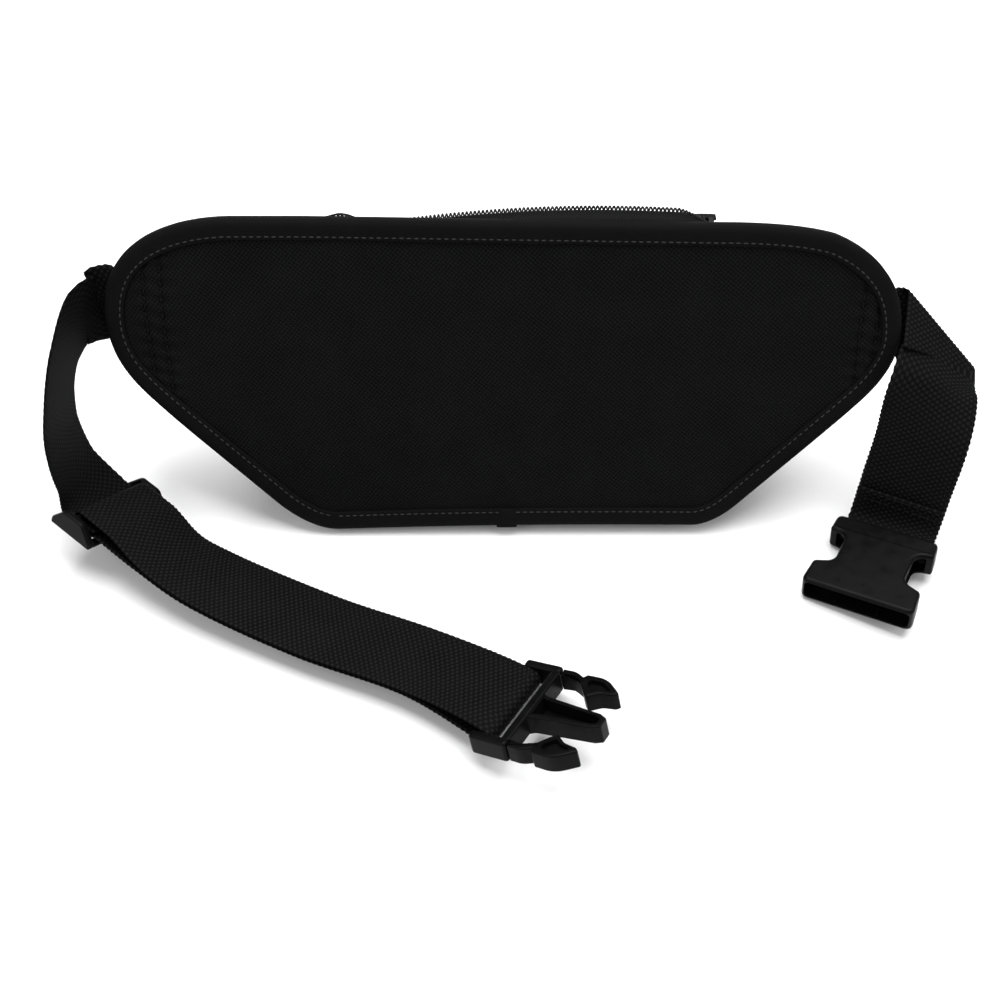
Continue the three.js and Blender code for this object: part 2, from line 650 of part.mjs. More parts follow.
// ---- buckles ------------------------------------------------------------------------------------
function triGlide() {
  const { halfLength, halfWidth, innerHalf, endBarLow, endBarHigh } = TRI_GLIDE;
  const top = centreBar.high + centreBar.radius;
  const side = new THREE.Shape();
  side.moveTo(-halfLength, endBarLow);
  side.lineTo(halfLength, endBarLow);
  side.quadraticCurveTo(halfLength, 0.5, 5, top);
  side.lineTo(-5, top);
  side.quadraticCurveTo(-halfLength, 0.5, -halfLength, endBarLow);
  const rails = [-1, 1].map((hand) => {
    const rail = slab(side, 0, halfWidth - innerHalf, 6).rotateX(Math.PI / 2);
    return rail.translate(0, hand > 0 ? halfWidth : -innerHalf, 0);
  });
  const ends = [-1, 1].map((hand) => block(
    [hand > 0 ? halfLength - 3.6 : -halfLength, -innerHalf - 0.5, endBarLow],
    [hand > 0 ? halfLength : -halfLength + 3.6, innerHalf + 0.5, endBarHigh],
  ));
  return join(...rails, ...ends, crossBar(centreBar.radius, innerHalf + 0.5, 0, centreBar.high));
}

function plugBody() {
  const { thickness, halfWidth, innerHalf, backEnd, barAt, crossEnd } = PLUG_SIZE;
  const half = thickness / 2;
  const rails = [-1, 1].map((hand) => {
    const [a, b] = hand > 0 ? [innerHalf, halfWidth] : [-halfWidth, -innerHalf];
    return block([backEnd, a, -half], [crossEnd, b, half]);
  });
  const cross = block([-0.6, -innerHalf - 0.2, -half], [crossEnd, innerHalf + 0.2, half]);
  const prong = new THREE.Shape();
  prong.moveTo(0, -PRONG.rootHalf - 2);
  prong.quadraticCurveTo(5, -PRONG.rootHalf, PRONG.length, -PRONG.tipHalf);
  prong.lineTo(PRONG.length + 3, -PRONG.tipHalf + 1.5);
  prong.lineTo(PRONG.length + 3, PRONG.tipHalf - 1.5);
  prong.lineTo(PRONG.length, PRONG.tipHalf);
  prong.quadraticCurveTo(5, PRONG.rootHalf, 0, PRONG.rootHalf + 2);
  const troughHalf = PRONG.tipHalf - PRONG.wall;
  const beyond = 2 * PRONG.length; // past the prong's open end and its top
  const trough = block([crossEnd + 0.5, -troughHalf, -half + 2], [beyond, troughHalf, beyond]);
  const channel = cut(slab(prong, -half + 0.4, half - 0.4), trough);
  return join(...rails, cross, crossBar(BUCKLE_BAR.radius, innerHalf + 0.3, barAt, 0), channel);
}

// A sprung arm: a thin neck with an arrow-shaped head, mirrored for the other side.
function plugArm(hand) {
  const half = PLUG_SIZE.thickness / 2 - 0.6;
  const arm = new THREE.Shape();
  arm.moveTo(ARM.rootAt, hand * 22.8);
  arm.quadraticCurveTo(9, hand * 22.9, 13.4, hand * 20.6);
  arm.lineTo(14.2, hand * 22.6);
  arm.quadraticCurveTo(24, hand * 22.8, ARM.tipAt, hand * 16.6);
  arm.lineTo(ARM.tipAt - 1.2, hand * 15.2);
  arm.quadraticCurveTo(25, hand * 14.6, 20, hand * 10.8);
  arm.lineTo(17.6, hand * 12.4);
  arm.lineTo(13, hand * 18);
  arm.quadraticCurveTo(9, hand * 19.8, ARM.rootAt, hand * 19.2);
  arm.closePath();
  return slab(arm, -half, half, 6);
}

function socketBody() {
  const { thickness, backHalf, mouthHalf, length, wall, barAt, barHalf } = SOCKET_SIZE;
  const half = thickness / 2;
  const corners = [
    [0, backHalf], [9, backHalf + 0.6], [19, 15.4], [27, 17], [30, mouthHalf - 1], [length, mouthHalf],
  ];
  const side = (hand) => corners.map(([s, w]) => [s, hand * w]);
  const outline = new THREE.Shape();
  const right = side(1);
  const left = side(-1).reverse();
  outline.moveTo(...right[0]);
  outline.lineTo(...right[1]);
  outline.quadraticCurveTo(10.5, 15.6, ...right[2]);
  outline.quadraticCurveTo(24, 15.2, ...right[3]);
  outline.quadraticCurveTo(29.5, 19, ...right[4]);
  outline.lineTo(...right[5]);
  outline.lineTo(...left[0]);
  outline.lineTo(...left[1]);
  outline.quadraticCurveTo(29.5, -19, ...left[2]);
  outline.quadraticCurveTo(24, -15.2, ...left[3]);
  outline.quadraticCurveTo(10.5, -15.6, ...left[4]);
  outline.lineTo(...left[5]);
  const hollow = block([-1, -20, -half + wall], [length + 1, 20, half - wall]);
  const mouth = block([30.5, -mouthHalf + wall, -half + wall], [length + 1, mouthHalf - wall, half - wall]);
  const shell = cut(slab(outline, -half, half, 6), hollow, mouth);
  const bar = block([barAt - barHalf, -20.4, -barHalf], [barAt + barHalf, 20.4, barHalf]);
  return join(shell, bar);
}

// ---- front pocket -------------------------------------------------------------------------------
const pocketArcY = pouchFront(0, POCKET.zipZ).y + POCKET.lift + 1.2;
const pocketArc = (x) => pocketArcY - x ** 2 / (2 * POCKET.zipRadius);

function pocketPanel() {
  const { lowZ, topZ, halfLength, lift } = POCKET;
  const at = (u, v, extra) => {
    const z = lowZ + v * (topZ - lowZ);
    const x = (2 * u - 1) * Math.min(halfLength, frontHalf(z) - 10);
    const edge = Math.min(1, 9 * Math.min(u, 1 - u), 6 * v + 0.15);
    return pouchFront(x, z, GAP + lift * Math.sin((edge * Math.PI) / 2) + extra);
  };
  return sheet((u, v) => at(u, v, FABRIC), (u, v) => at(u, v, 0), 24, 9);
}

function pocketBand(lowZ, highZ, near, far) {
  const at = (u, v, y) => {
    const x = (2 * u - 1) * POCKET.zipHalf;
    return new THREE.Vector3(x, pocketArc(x) + y, lowZ + v * (highZ - lowZ));
  };
  return sheet((u, v) => at(u, v, near), (u, v) => at(u, v, far), 20, 1);
}

// ---- assembly -----------------------------------------------------------------------------------
addPiece('back_panel_fabric', 'fabric', panelLayer(edgeInset, 0, FABRIC));
addPiece('back_foam_pad', 'foam', panelLayer(edgeInset + 3, FABRIC + GAP, FABRIC + GAP + FOAM));
addPiece('back_lining', 'lining', panelLayer(edgeInset, liningStart, panelBack));
addPiece('edge_binding', 'binding', edgeBinding());
addPiece('front_panel', 'fabric', frontPanel());
addPiece('lower_gusset', 'fabric', lowerGusset());

const rearStripTop = shiftLine(rearTapeSeam, -GAP);
const frontStripTop = shiftLine(frontTapeSeam, GAP, -STRIP.below);
addPiece('rear_top_strip', 'fabric', zipStrip(rearStripFoot, rearStripTop, STRIP.thickness));
addPiece('rear_zip_tape', 'zip', zipStrip(rearTapeSeam, rearTapeEdge, tape.thickness));
addPiece('rear_zip_coil', 'zip', zipCoil(rearHalf));
addPiece('front_zip_coil', 'zip', zipCoil(frontHalfOfZip));
addPiece('front_zip_tape', 'zip', zipStrip(frontTapeEdge, frontTapeSeam, tape.thickness));
const frontStrip = zipStrip(frontStripTop, frontStripFoot, STRIP.thickness, STRIP.frontLean);
addPiece('front_top_strip', 'fabric', frontStrip);
addPiece('left_top_end', 'fabric', topEnd(-POUCH_SEAM.start, ZIP.left - GAP));
addPiece('right_top_end', 'fabric', topEnd(ZIP.right + GAP, POUCH_SEAM.start));
const stopHigh = rearHalf.z(ZIP.right);
addPiece('zip_end_stop', 'slider', block(
  [ZIP.right - 3.5, ZIP.centreY - 2.6, stopHigh - 1.4],
  [ZIP.right - 1.5, ZIP.centreY + 2.6, stopHigh + 1.4],
));

const zipSlope = Math.asin((ZIP.middleX - SLIDER.x) / ZIP.radius);
const sliderFrame = frameOf({
  x: SLIDER.x,
  y: ZIP.centreY,
  z: zipHeight(SLIDER.x),
  heading: 0,
  pitch: THREE.MathUtils.radToDeg(zipSlope),
  roll: 0,
});
const tabHeight = SLIDER.clear + SLIDER.plate + 1.3;
addPiece('zip_slider', 'slider', sliderBody(SLIDER), sliderFrame);
addPiece('zip_pull_tab', 'slider', pullTab(PULL_TAB), {
  ...sliderFrame,
  origin: inFrame(sliderFrame, 0, 0, tabHeight),
});

addPiece('pocket_panel', 'fabric', pocketPanel());
addPiece('pocket_zip_tape', 'zip', pocketBand(POCKET.zipZ - 5, POCKET.zipZ + 5, -0.8, 0));
addPiece('pocket_zip_coil', 'zip', pocketBand(POCKET.zipZ - 1.1, POCKET.zipZ + 1.1, GAP, 1.4));
const pocketSliderFrame = {
  origin: new THREE.Vector3(0, pocketArcY + 4.2, POCKET.zipZ),
  along: new THREE.Vector3(0, 0, 1),
  across: new THREE.Vector3(1, 0, 0),
  up: new THREE.Vector3(0, 1, 0),
};
const pocketSlider = join(
  block([-4, -4.5, -2], [4, 4.5, -0.8]),
  cut(block([-2.6, -1.6, -0.9], [2.6, 1.6, 2.2]), crossBar(0.9, 5, 0, 0.5, 10)),
);
addPiece('pocket_zip_slider', 'slider', pocketSlider, pocketSliderFrame);
addPiece('pocket_pull_tab', 'slider', pullTab(PULL_TAB), {
  ...pocketSliderFrame,
  origin: inFrame(pocketSliderFrame, 0, 0, 0.5),
});

addPiece('left_strap_anchor', 'webbing', strapAnchor(-1, ANCHOR.leftTo, ANCHOR.leftLow));
addPiece('left_strap_webbing', 'webbing', leftWebbing());
addPiece('tri_glide', 'plastic', triGlide(), glideFrame);
addPiece('adjuster_loop', 'webbing', adjusterLoop());
addPiece('buckle_plug', 'plastic', plugBody(), plugFrame);
addPiece('plug_arm_far', 'plastic', plugArm(1), plugFrame);
addPiece('plug_arm_near', 'plastic', plugArm(-1), plugFrame);

addPiece('right_strap_anchor', 'webbing', strapAnchor(1, ANCHOR.rightTo, ANCHOR.rightLow));
addPiece('right_strap_webbing', 'webbing', rightWebbing());
addPiece('buckle_socket', 'plastic', socketBody(), socketFrame);

pack.position.set(0, -FOOT.middleY, 0);

export default pack;
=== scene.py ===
import copy
import math

import bmesh
import bpy
import numpy as np
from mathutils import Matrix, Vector


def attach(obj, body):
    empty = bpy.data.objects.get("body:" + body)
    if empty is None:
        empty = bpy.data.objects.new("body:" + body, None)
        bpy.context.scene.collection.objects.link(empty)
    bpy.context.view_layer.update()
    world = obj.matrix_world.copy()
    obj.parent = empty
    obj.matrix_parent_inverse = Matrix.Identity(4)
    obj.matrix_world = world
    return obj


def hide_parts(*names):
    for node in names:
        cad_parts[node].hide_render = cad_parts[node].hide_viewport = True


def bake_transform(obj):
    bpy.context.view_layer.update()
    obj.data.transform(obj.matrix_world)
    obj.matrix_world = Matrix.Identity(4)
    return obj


# A black waist pack with its straps laid out. Sizes are in millimetres, in the frame of the CAD,
# and become metres where a mesh is made.

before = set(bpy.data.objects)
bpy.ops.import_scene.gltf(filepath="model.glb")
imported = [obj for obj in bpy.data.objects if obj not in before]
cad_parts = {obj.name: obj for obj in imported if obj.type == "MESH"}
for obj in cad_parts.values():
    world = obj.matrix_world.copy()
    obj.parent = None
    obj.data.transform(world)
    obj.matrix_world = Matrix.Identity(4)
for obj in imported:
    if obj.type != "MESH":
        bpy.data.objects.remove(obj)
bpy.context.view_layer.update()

MM = 0.001
GAP = 0.4
FOOT_Y = 32.0
LEAN = math.radians(68)
UP_PANEL = np.array([0, math.cos(LEAN), math.sin(LEAN)])
INTO_PANEL = np.array([0, math.sin(LEAN), -math.cos(LEAN)])
PANEL_BASE = np.array([0, -1.4 - FOOT_Y, 2.4])
WING_BEND = {"from": 135, "reach": 33, "depth": 5}
PAD = {"back": 5.4, "edge": 1.4, "crown": 1.6, "grid": (67, 29), "pressure": -5.0}
BINDING = {"cover": 8.5, "wall": 1.0, "rib": 1.05}
BEHIND_BINDING = 7.2
WEBBING = {"width": 38.0, "thickness": 1.4, "cords": 22, "station": 1.15, "relief": 0.26}


def point(*xyz):
    return np.array(xyz, float)


def unit(v):
    return v / np.maximum(np.linalg.norm(v, axis=-1, keepdims=True), 1e-12)


def distances(line):
    """How far along a line of points each of them is."""
    return np.concatenate([[0], np.cumsum(np.linalg.norm(np.diff(line, axis=0), axis=1))])


def hump(x, width):
    """A smooth hump, 1 high at x = 0."""
    return np.exp(-(x / width) ** 2)


def spread(direction, line):
    """The same direction for each point of a line."""
    return np.broadcast_to(direction, line.shape)


def beside(*fields):
    """Coordinates put side by side as points."""
    return np.stack(np.broadcast_arrays(*fields), -1)


def smoothstep(x, low, high):
    t = np.clip((np.asarray(x, float) - low) / (high - low), 0, 1)
    return t * t * (3 - 2 * t)


# Meshes
def make_piece(name, points, faces, materials, uvs=None, picks=None):
    """A mesh object from points in millimetres. uvs has one (u, v) per point, in millimetres too."""
    mesh = bpy.data.meshes.new(name)
    mesh.from_pydata((np.asarray(points, float) * MM).tolist(), [], faces)
    for material in materials:
        mesh.materials.append(material)
    if uvs is not None:
        corners = np.empty(len(mesh.loops), np.int32)
        mesh.loops.foreach_get("vertex_index", corners)
        layer = mesh.uv_layers.new(name="cloth")
        layer.data.foreach_set("uv", np.asarray(uvs, np.float32)[corners].ravel())
    if picks is not None:
        mesh.polygons.foreach_set("material_index", np.asarray(picks, np.int32))
    editable = bmesh.new()
    editable.from_mesh(mesh)
    bmesh.ops.recalc_face_normals(editable, faces=editable.faces)
    editable.to_mesh(mesh)
    editable.free()
    mesh.polygons.foreach_set("use_smooth", [True] * len(mesh.polygons))
    piece = bpy.data.objects.new(name, mesh)
    bpy.context.scene.collection.objects.link(piece)
    return piece


def grid_faces(rows, columns, start=0, wrap_rows=False, wrap_columns=False):
    """Four-sided faces between the points of a grid, which may close on itself either way."""
    i, j = np.meshgrid(np.arange(rows if wrap_rows else rows - 1),
                       np.arange(columns if wrap_columns else columns - 1), indexing="ij")
    here, below, right = i * columns, (i + 1) % rows * columns, (j + 1) % columns
    quads = np.stack([here + j, below + j, below + right, here + right], -1)
    return (quads.reshape(-1, 4) + start).tolist()


def shell(name, top, under, materials, uv=None, under_pick=0):
    """A closed sheet: two matching grids of points, joined round their border."""
    rows, columns = top.shape[:2]
    faces = grid_faces(rows, columns) + grid_faces(rows, columns, rows * columns)
    ring = list(range(columns))
    ring += [i * columns + columns - 1 for i in range(1, rows)]
    ring += [(rows - 1) * columns + j for j in range(columns - 2, -1, -1)]
    ring += [i * columns for i in range(rows - 2, 0, -1)]
    half = rows * columns
    sides = [[a, b, b + half, a + half] for a, b in zip(ring, ring[1:] + ring[:1])]
    cells = (rows - 1) * (columns - 1)
    picks = [0] * cells + [under_pick] * cells + [0] * len(sides)
    points = np.concatenate([top.reshape(-1, 3), under.reshape(-1, 3)])
    uvs = np.concatenate([uv.reshape(-1, 2)] * 2) if uv is not None else None
    return make_piece(name, points, faces + sides, materials, uvs, picks)


def grid_uv(points):
    """Distances along and across a grid of points, so that a weave keeps its size."""
    across = np.linalg.norm(np.diff(points, axis=0), axis=2).mean(1)
    along = np.linalg.norm(np.diff(points, axis=1), axis=2).mean(0)
    u = np.concatenate([[0], np.cumsum(across)])
    v = np.concatenate([[0], np.cumsum(along)])
    return np.stack(np.meshgrid(u, v, indexing="ij"), -1)


def sweep(name, centres, radius, material, up, sides=8):
    """A round cord along a line of points."""
    along = unit(np.gradient(centres, axis=0))
    side = unit(np.cross(along, spread(up, centres)))
    lift = np.cross(side, along)
    angle = np.arange(sides) * 2 * math.pi / sides
    cosine, sine = np.cos(angle)[:, None], np.sin(angle)[:, None]
    ring = radius * (cosine * side[:, None] + sine * lift[:, None])
    points = (centres[:, None] + ring).reshape(-1, 3)
    faces = grid_faces(len(centres), sides, wrap_columns=True)
    faces += [list(range(sides))[::-1], [len(points) - sides + k for k in range(sides)]]
    uvs = beside(angle * radius, distances(centres)[:, None]).reshape(-1, 2)
    return make_piece(name, points, faces, [material], uvs)


def blended(field, run, place):
    """The value of a field of vectors at a place along its line."""
    return point(*[np.interp(place, run, field[:, k]) for k in range(3)])


def stitches(name, runs, look, body, slot, pitch, length, radius):
    """Rows of stitches, each a short thread pressed into the cloth. A run is (points, normals)."""
    sides, rings = 6, [(-1, 0.25), (-0.6, 0.9), (0, 1.1), (0.6, 0.9), (1, 0.25)]
    points, faces = [], []
    angle = np.arange(sides) * 2 * math.pi / sides
    for line, normals in runs:
        run = distances(line)
        for s in np.arange(pitch / 2, run[-1] - pitch / 2, pitch):
            centre, ahead, behind = (blended(line, run, q) for q in (s, s + 0.5, s - 0.5))
            along = unit(ahead - behind)
            normal = unit(blended(normals, run, s))
            side = unit(np.cross(along, normal))
            start = len(points)
            for place, share in rings:
                middle = centre + along * place * length / 2 + normal * radius * (0.5 - 0.7 * place ** 2)
                reach = radius * share
                points += [middle + reach * (math.cos(a) * side + math.sin(a) * normal) for a in angle]
            faces += grid_faces(len(rings), sides, start, wrap_columns=True)
            faces += [[start + k for k in range(sides)][::-1]]
            faces += [[start + (len(rings) - 1) * sides + k for k in range(sides)]]
    settle(make_piece(name, points, faces, [LOOKS[look]]), body, slot)


CLOTH_STEPS = 20
FINER = 4


def cloth_swell(points, pinned, pressure, cap):
    """How far each point of a pinned sheet moves when the filling behind it presses on it."""
    rows, columns = points.shape[:2]
    sheet = make_piece("swelling_sheet", points.reshape(-1, 3), grid_faces(rows, columns), [])
    hold = sheet.vertex_groups.new(name="held")
    hold.add(np.flatnonzero(pinned.ravel()).tolist(), 1.0, "REPLACE")
    cloth = sheet.modifiers.new("Cloth", "CLOTH")
    settings = cloth.settings
    settings.vertex_group_mass = "held"
    settings.mass = 0.3
    settings.tension_stiffness = 40
    settings.compression_stiffness = 10
    settings.shear_stiffness = 10
    settings.bending_stiffness = 0.5
    settings.use_pressure = True
    settings.uniform_pressure_force = pressure
    settings.effector_weights.gravity = 0
    cloth.point_cache.frame_end = CLOTH_STEPS
    for step in range(1, CLOTH_STEPS + 1):
        bpy.context.scene.frame_set(step)
    swollen = sheet.evaluated_get(bpy.context.evaluated_depsgraph_get()).to_mesh()
    after = np.empty(rows * columns * 3)
    swollen.vertices.foreach_get("co", after)
    moved = after.reshape(rows, columns, 3) / MM - points
    bpy.context.scene.frame_set(1)
    mesh = sheet.data
    bpy.data.objects.remove(sheet)
    bpy.data.meshes.remove(mesh)
    size = np.linalg.norm(moved, axis=2, keepdims=True)
    return moved * np.minimum(1, cap / np.maximum(size, 1e-9))


def finer(field):
    """A grid of vectors, filled in to FINER times as many cells each way."""
    rows, columns = field.shape[:2]
    u = np.linspace(0, rows - 1, (rows - 1) * FINER + 1)
    v = np.linspace(0, columns - 1, (columns - 1) * FINER + 1)
    i, j = np.minimum(u.astype(int), rows - 2), np.minimum(v.astype(int), columns - 2)
    fu, fv = (u - i)[:, None, None], (v - j)[None, :, None]
    fu, fv = fu * fu * (3 - 2 * fu) * 0.4 + fu * 0.6, fv * fv * (3 - 2 * fv) * 0.4 + fv * 0.6
    a, b = field[i][:, j], field[i][:, j + 1]
    c, d = field[i + 1][:, j], field[i + 1][:, j + 1]
    return (a * (1 - fv) + b * fv) * (1 - fu) + (c * (1 - fv) + d * fv) * fu


# Materials
class Finish:
    """A node material that is built a step at a time."""

    def __init__(self, name, roughness, specular, metal=0.0):
        self.material = bpy.data.materials.new(name)
        self.material.use_nodes = True
        self.tree = self.material.node_tree
        self.surface = self.tree.nodes["Principled BSDF"]
        self.surface.inputs["Roughness"].default_value = roughness
        self.surface.inputs["Specular IOR Level"].default_value = specular
        self.surface.inputs["Metallic"].default_value = metal

    def add(self, kind, settings=None, **inputs):
        node = self.tree.nodes.new(kind)
        for key, value in (settings or {}).items():
            setattr(node, key, value)
        for key, value in inputs.items():
            self.plug(node.inputs[key.replace("_", " ")], value)
        return node

    def plug(self, socket, value):
        if isinstance(value, bpy.types.NodeSocket):
            self.tree.links.new(value, socket)
        else:
            socket.default_value = value

    def math(self, operation, a, b=0.0):
        node = self.tree.nodes.new("ShaderNodeMath")
        node.operation = operation
        self.plug(node.inputs[0], a)
        self.plug(node.inputs[1], b)
        return node.outputs[0]

    def cloth_axes(self):
        place = self.add("ShaderNodeUVMap")
        split = self.add("ShaderNodeSeparateXYZ", Vector=place.outputs["UV"])
        return split.outputs["X"], split.outputs["Y"]

    def wave(self, distance, pitch):
        return self.math("SINE", self.math("MULTIPLY", distance, math.pi / pitch))

    def noise(self, size_mm, detail=3.0):
        place = self.add("ShaderNodeTexCoord")
        spots = self.add("ShaderNodeTexNoise", Vector=place.outputs["Object"])
        spots.inputs["Scale"].default_value = 1 / (size_mm * MM)
        spots.inputs["Detail"].default_value = detail
        return spots.outputs["Fac"]

    def range(self, value, low, high, start=0.0, end=1.0):
        node = self.add("ShaderNodeMapRange", Value=value)
        for key, number in {"From Min": start, "From Max": end, "To Min": low, "To Max": high}.items():
            node.inputs[key].default_value = number
        return node.outputs["Result"]

    def colour(self, amount, dark, light):
        blend = self.add("ShaderNodeMix", {"data_type": "RGBA"})
        self.plug(blend.inputs["Factor"], amount)
        blend.inputs["A"].default_value = (*dark, 1)
        blend.inputs["B"].default_value = (*light, 1)
        self.tree.links.new(blend.outputs["Result"], self.surface.inputs["Base Color"])

    def relief(self, height, distance_mm, strength=1.0):
        bump = self.add("ShaderNodeBump", Height=height)
        bump.inputs["Distance"].default_value = distance_mm * MM
        bump.inputs["Strength"].default_value = strength
        before = self.surface.inputs["Normal"].links
        if before:
            self.tree.links.new(before[0].from_socket, bump.inputs["Normal"])
        self.tree.links.new(bump.outputs["Normal"], self.surface.inputs["Normal"])


def woven(name, dark, light, pitch, roughness, relief=0.16):
    """Plain weave: threads in both directions, one over the other in turn."""
    look = Finish(name, roughness, specular=0.03)
    u, v = look.cloth_axes()
    crossing = look.math("MULTIPLY", look.wave(u, pitch), look.wave(v, pitch))
    soil = look.range(look.noise(18, 4), -0.25, 0.25)
    fibre = look.range(look.noise(0.5, 2), -0.2, 0.2)
    # crossing is painted into the colour as painted highlight and painted shade: one set of weave cells
    # lighter, the other darker
    amount = look.math("ADD", look.range(crossing, 0, 1, -1, 1), look.math("ADD", soil, fibre))
    look.colour(amount, dark, light)
    look.relief(look.math("ABSOLUTE", crossing), relief)
    look.relief(look.noise(0.35, 2), 0.03, 0.5)
    return look.material


def corded(name, dark, light, across, along, roughness, relief=0.1):
    """Tape or webbing: fine fibres lie along the cords; painted shade darkens the hollows between them and
    the dips where the cords pass under.
    """
    look = Finish(name, roughness, specular=0.05)
    u, v = look.cloth_axes()
    cord = look.math("ABSOLUTE", look.wave(u, across))
    turn = look.math("MULTIPLY", look.wave(u, across), look.wave(v, along))
    raised = look.range(turn, 0, 1, -0.5, 0.7)
    # body is painted shade in the colour: darker in the grooves between cords and where a cord dips under,
    # lighter on the raised crossings; it is also the bump height
    body = look.math("MULTIPLY", look.range(cord, 0.35, 1), look.range(raised, 0.15, 1))
    fibre = look.range(look.noise(0.35, 3), -0.3, 0.3)
    soil = look.range(look.noise(14), -0.15, 0.15)
    look.colour(look.math("ADD", look.math("ADD", body, fibre), soil), dark, light)
    look.relief(body, relief)
    look.relief(look.noise(0.22, 2), 0.04, 0.6)
    return look.material


def moulded(name, dark, light, roughness, grain=0.3, metal=0.0):
    """Satin plastic or enamelled metal with a fine grain, a little smoother where hands rub it."""
    look = Finish(name, roughness, specular=0.06, metal=metal)
    look.colour(look.noise(9, 4), dark, light)
    rubbed = look.range(look.noise(5, 3), roughness - 0.08, roughness + 0.1, 0.3, 0.7)
    look.plug(look.surface.inputs["Roughness"], rubbed)
    look.relief(look.noise(grain, 2), 0.02, 0.35)
    look.relief(look.noise(12, 2), 0.04, 0.1)
    return look.material


def grey(level):
    return (level * 0.98, level * 0.99, level * 1.05)


LOOKS = {
    "fabric": woven("shell_fabric", grey(0.0018), grey(0.0075), 0.98, 0.85),
    "lining": woven("lining_fabric", grey(0.006), grey(0.014), 0.5, 0.6, 0.05),
    "binding": corded("binding_tape", grey(0.0012), grey(0.0062), 0.55, 0.45, 0.8, 0.05),
    "webbing": corded("webbing_cloth", grey(0.0003), grey(0.008), 1.727, 1.15, 0.72, 0.08),
    "tape": corded("zip_tape", grey(0.004), grey(0.016), 0.7, 0.6, 0.8),
    "thread": corded("sewing_thread", grey(0.02), grey(0.06), 0.3, 0.3, 0.6),
    "dark_thread": corded("dark_thread", grey(0.004), grey(0.012), 0.3, 0.3, 0.7),
    "coil": moulded("zip_coil", grey(0.008), grey(0.016), 0.34),
    "metal": moulded("enamelled_metal", grey(0.02), grey(0.035), 0.3, metal=0.55),
    "plastic": moulded("buckle_plastic", grey(0.002), grey(0.003), 0.34),
}


def settle(piece, body, slot, *nodes):
    """The piece rides on a body and stands for some of the CAD's nodes; the slot is not used."""
    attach(piece, body)
    if nodes:
        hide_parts(*nodes)


# Back panel
def panel_point(x, height, depth):
    """A place on the leaning panel; the wings bend back at its ends."""
    x, height, depth = np.broadcast_arrays(*(np.asarray(v, float) for v in (x, height, depth)))
    past = np.maximum(0, np.abs(x) - WING_BEND["from"]) / WING_BEND["reach"]
    behind = depth + WING_BEND["depth"] * past ** 2
    level = PANEL_BASE + beside(x, 0, 0)
    return level + height[..., None] * UP_PANEL + behind[..., None] * INTO_PANEL


def bezier(points):
    """Points along a curve, without its last."""
    points = [point(*p) for p in points]
    t = np.linspace(0, 1, 40, endpoint=False)[:, None]
    while len(points) > 1:
        points = [a * (1 - t) + b * t for a, b in zip(points, points[1:])]
    return points[0]


def panel_outline(spacing):
    """The bound edge of the panel: a long trapezium with rounded wings, evenly divided."""
    parts = [
        [(-76, 0.6), (0, 3.4), (80, 2.6)],
        [(80, 2.6), (90, 2.8), (101, 14)],
        [(101, 14), (148, 60.5)],
        [(148, 60.5), (163, 75), (162.8, 89)],
        [(162.8, 89), (162.3, 106), (153, 117)],
        [(153, 117), (145, 127), (131, 132.5)],
        [(131, 132.5), (115, 137), (84, 137)],
        [(84, 137), (-84, 139.5)],
        [(-84, 139.5), (-112, 139.5)],
        [(-112, 139.5), (-140, 139.5), (-168.6, 128), (-168.6, 95)],
        [(-168.6, 95), (-168.6, 80), (-161, 71), (-153, 63)],
        [(-153, 63), (-101.6, 12.9)],
        [(-101.6, 12.9), (-88, 0.6), (-76, 0.6)],
    ]
    rough = np.concatenate([bezier(part) for part in parts])
    closed = np.concatenate([rough, rough[:1]])
    run = distances(closed)
    even = np.linspace(0, run[-1], 2 * round(run[-1] / spacing / 2), endpoint=False)
    return np.stack([np.interp(even, run, closed[:, k]) for k in range(2)], -1), even


def inset(outline, distance):
    """A closed outline moved inwards."""
    direction = unit(np.roll(outline, -3, 0) - np.roll(outline, 3, 0))
    return outline + distance * np.stack([-direction[:, 1], direction[:, 0]], -1)


EDGE, EDGE_RUN = panel_outline(BINDING["rib"] / 2)


def span_at(outline, x):
    """The lowest and highest point of a closed outline at one x."""
    after = np.roll(outline, -1, 0)
    crosses = (outline[:, 0] - x) * (after[:, 0] - x) <= 0
    a, b = outline[crosses], after[crosses]
    share = (x - a[:, 0]) / np.where(a[:, 0] == b[:, 0], 1, b[:, 0] - a[:, 0])
    heights = a[:, 1] + share * (b[:, 1] - a[:, 1])
    return heights.min(), heights.max()


def panel_grid(margin, columns, rows):
    """(x, height) over the panel, inside a margin from its edge."""
    rim = inset(EDGE, margin)
    left, right = rim[:, 0].min() + 0.4, rim[:, 0].max() - 0.4
    crowded = (left + right) / 2 - (right - left) / 2 * np.cos(np.linspace(0, math.pi, columns))
    x = 0.75 * np.linspace(left, right, columns) + 0.25 * crowded
    low, high = np.array([span_at(rim, q) for q in x]).T[:, :, None]
    return np.broadcast_to(x[:, None], (columns, rows)), low + (high - low) * np.linspace(0, 1, rows)


STITCH_LINES = (-150, -143, 145, 152)


def even_grid(columns, rows):
    return np.meshgrid(np.linspace(0, 1, columns), np.linspace(0, 1, rows), indexing="ij")


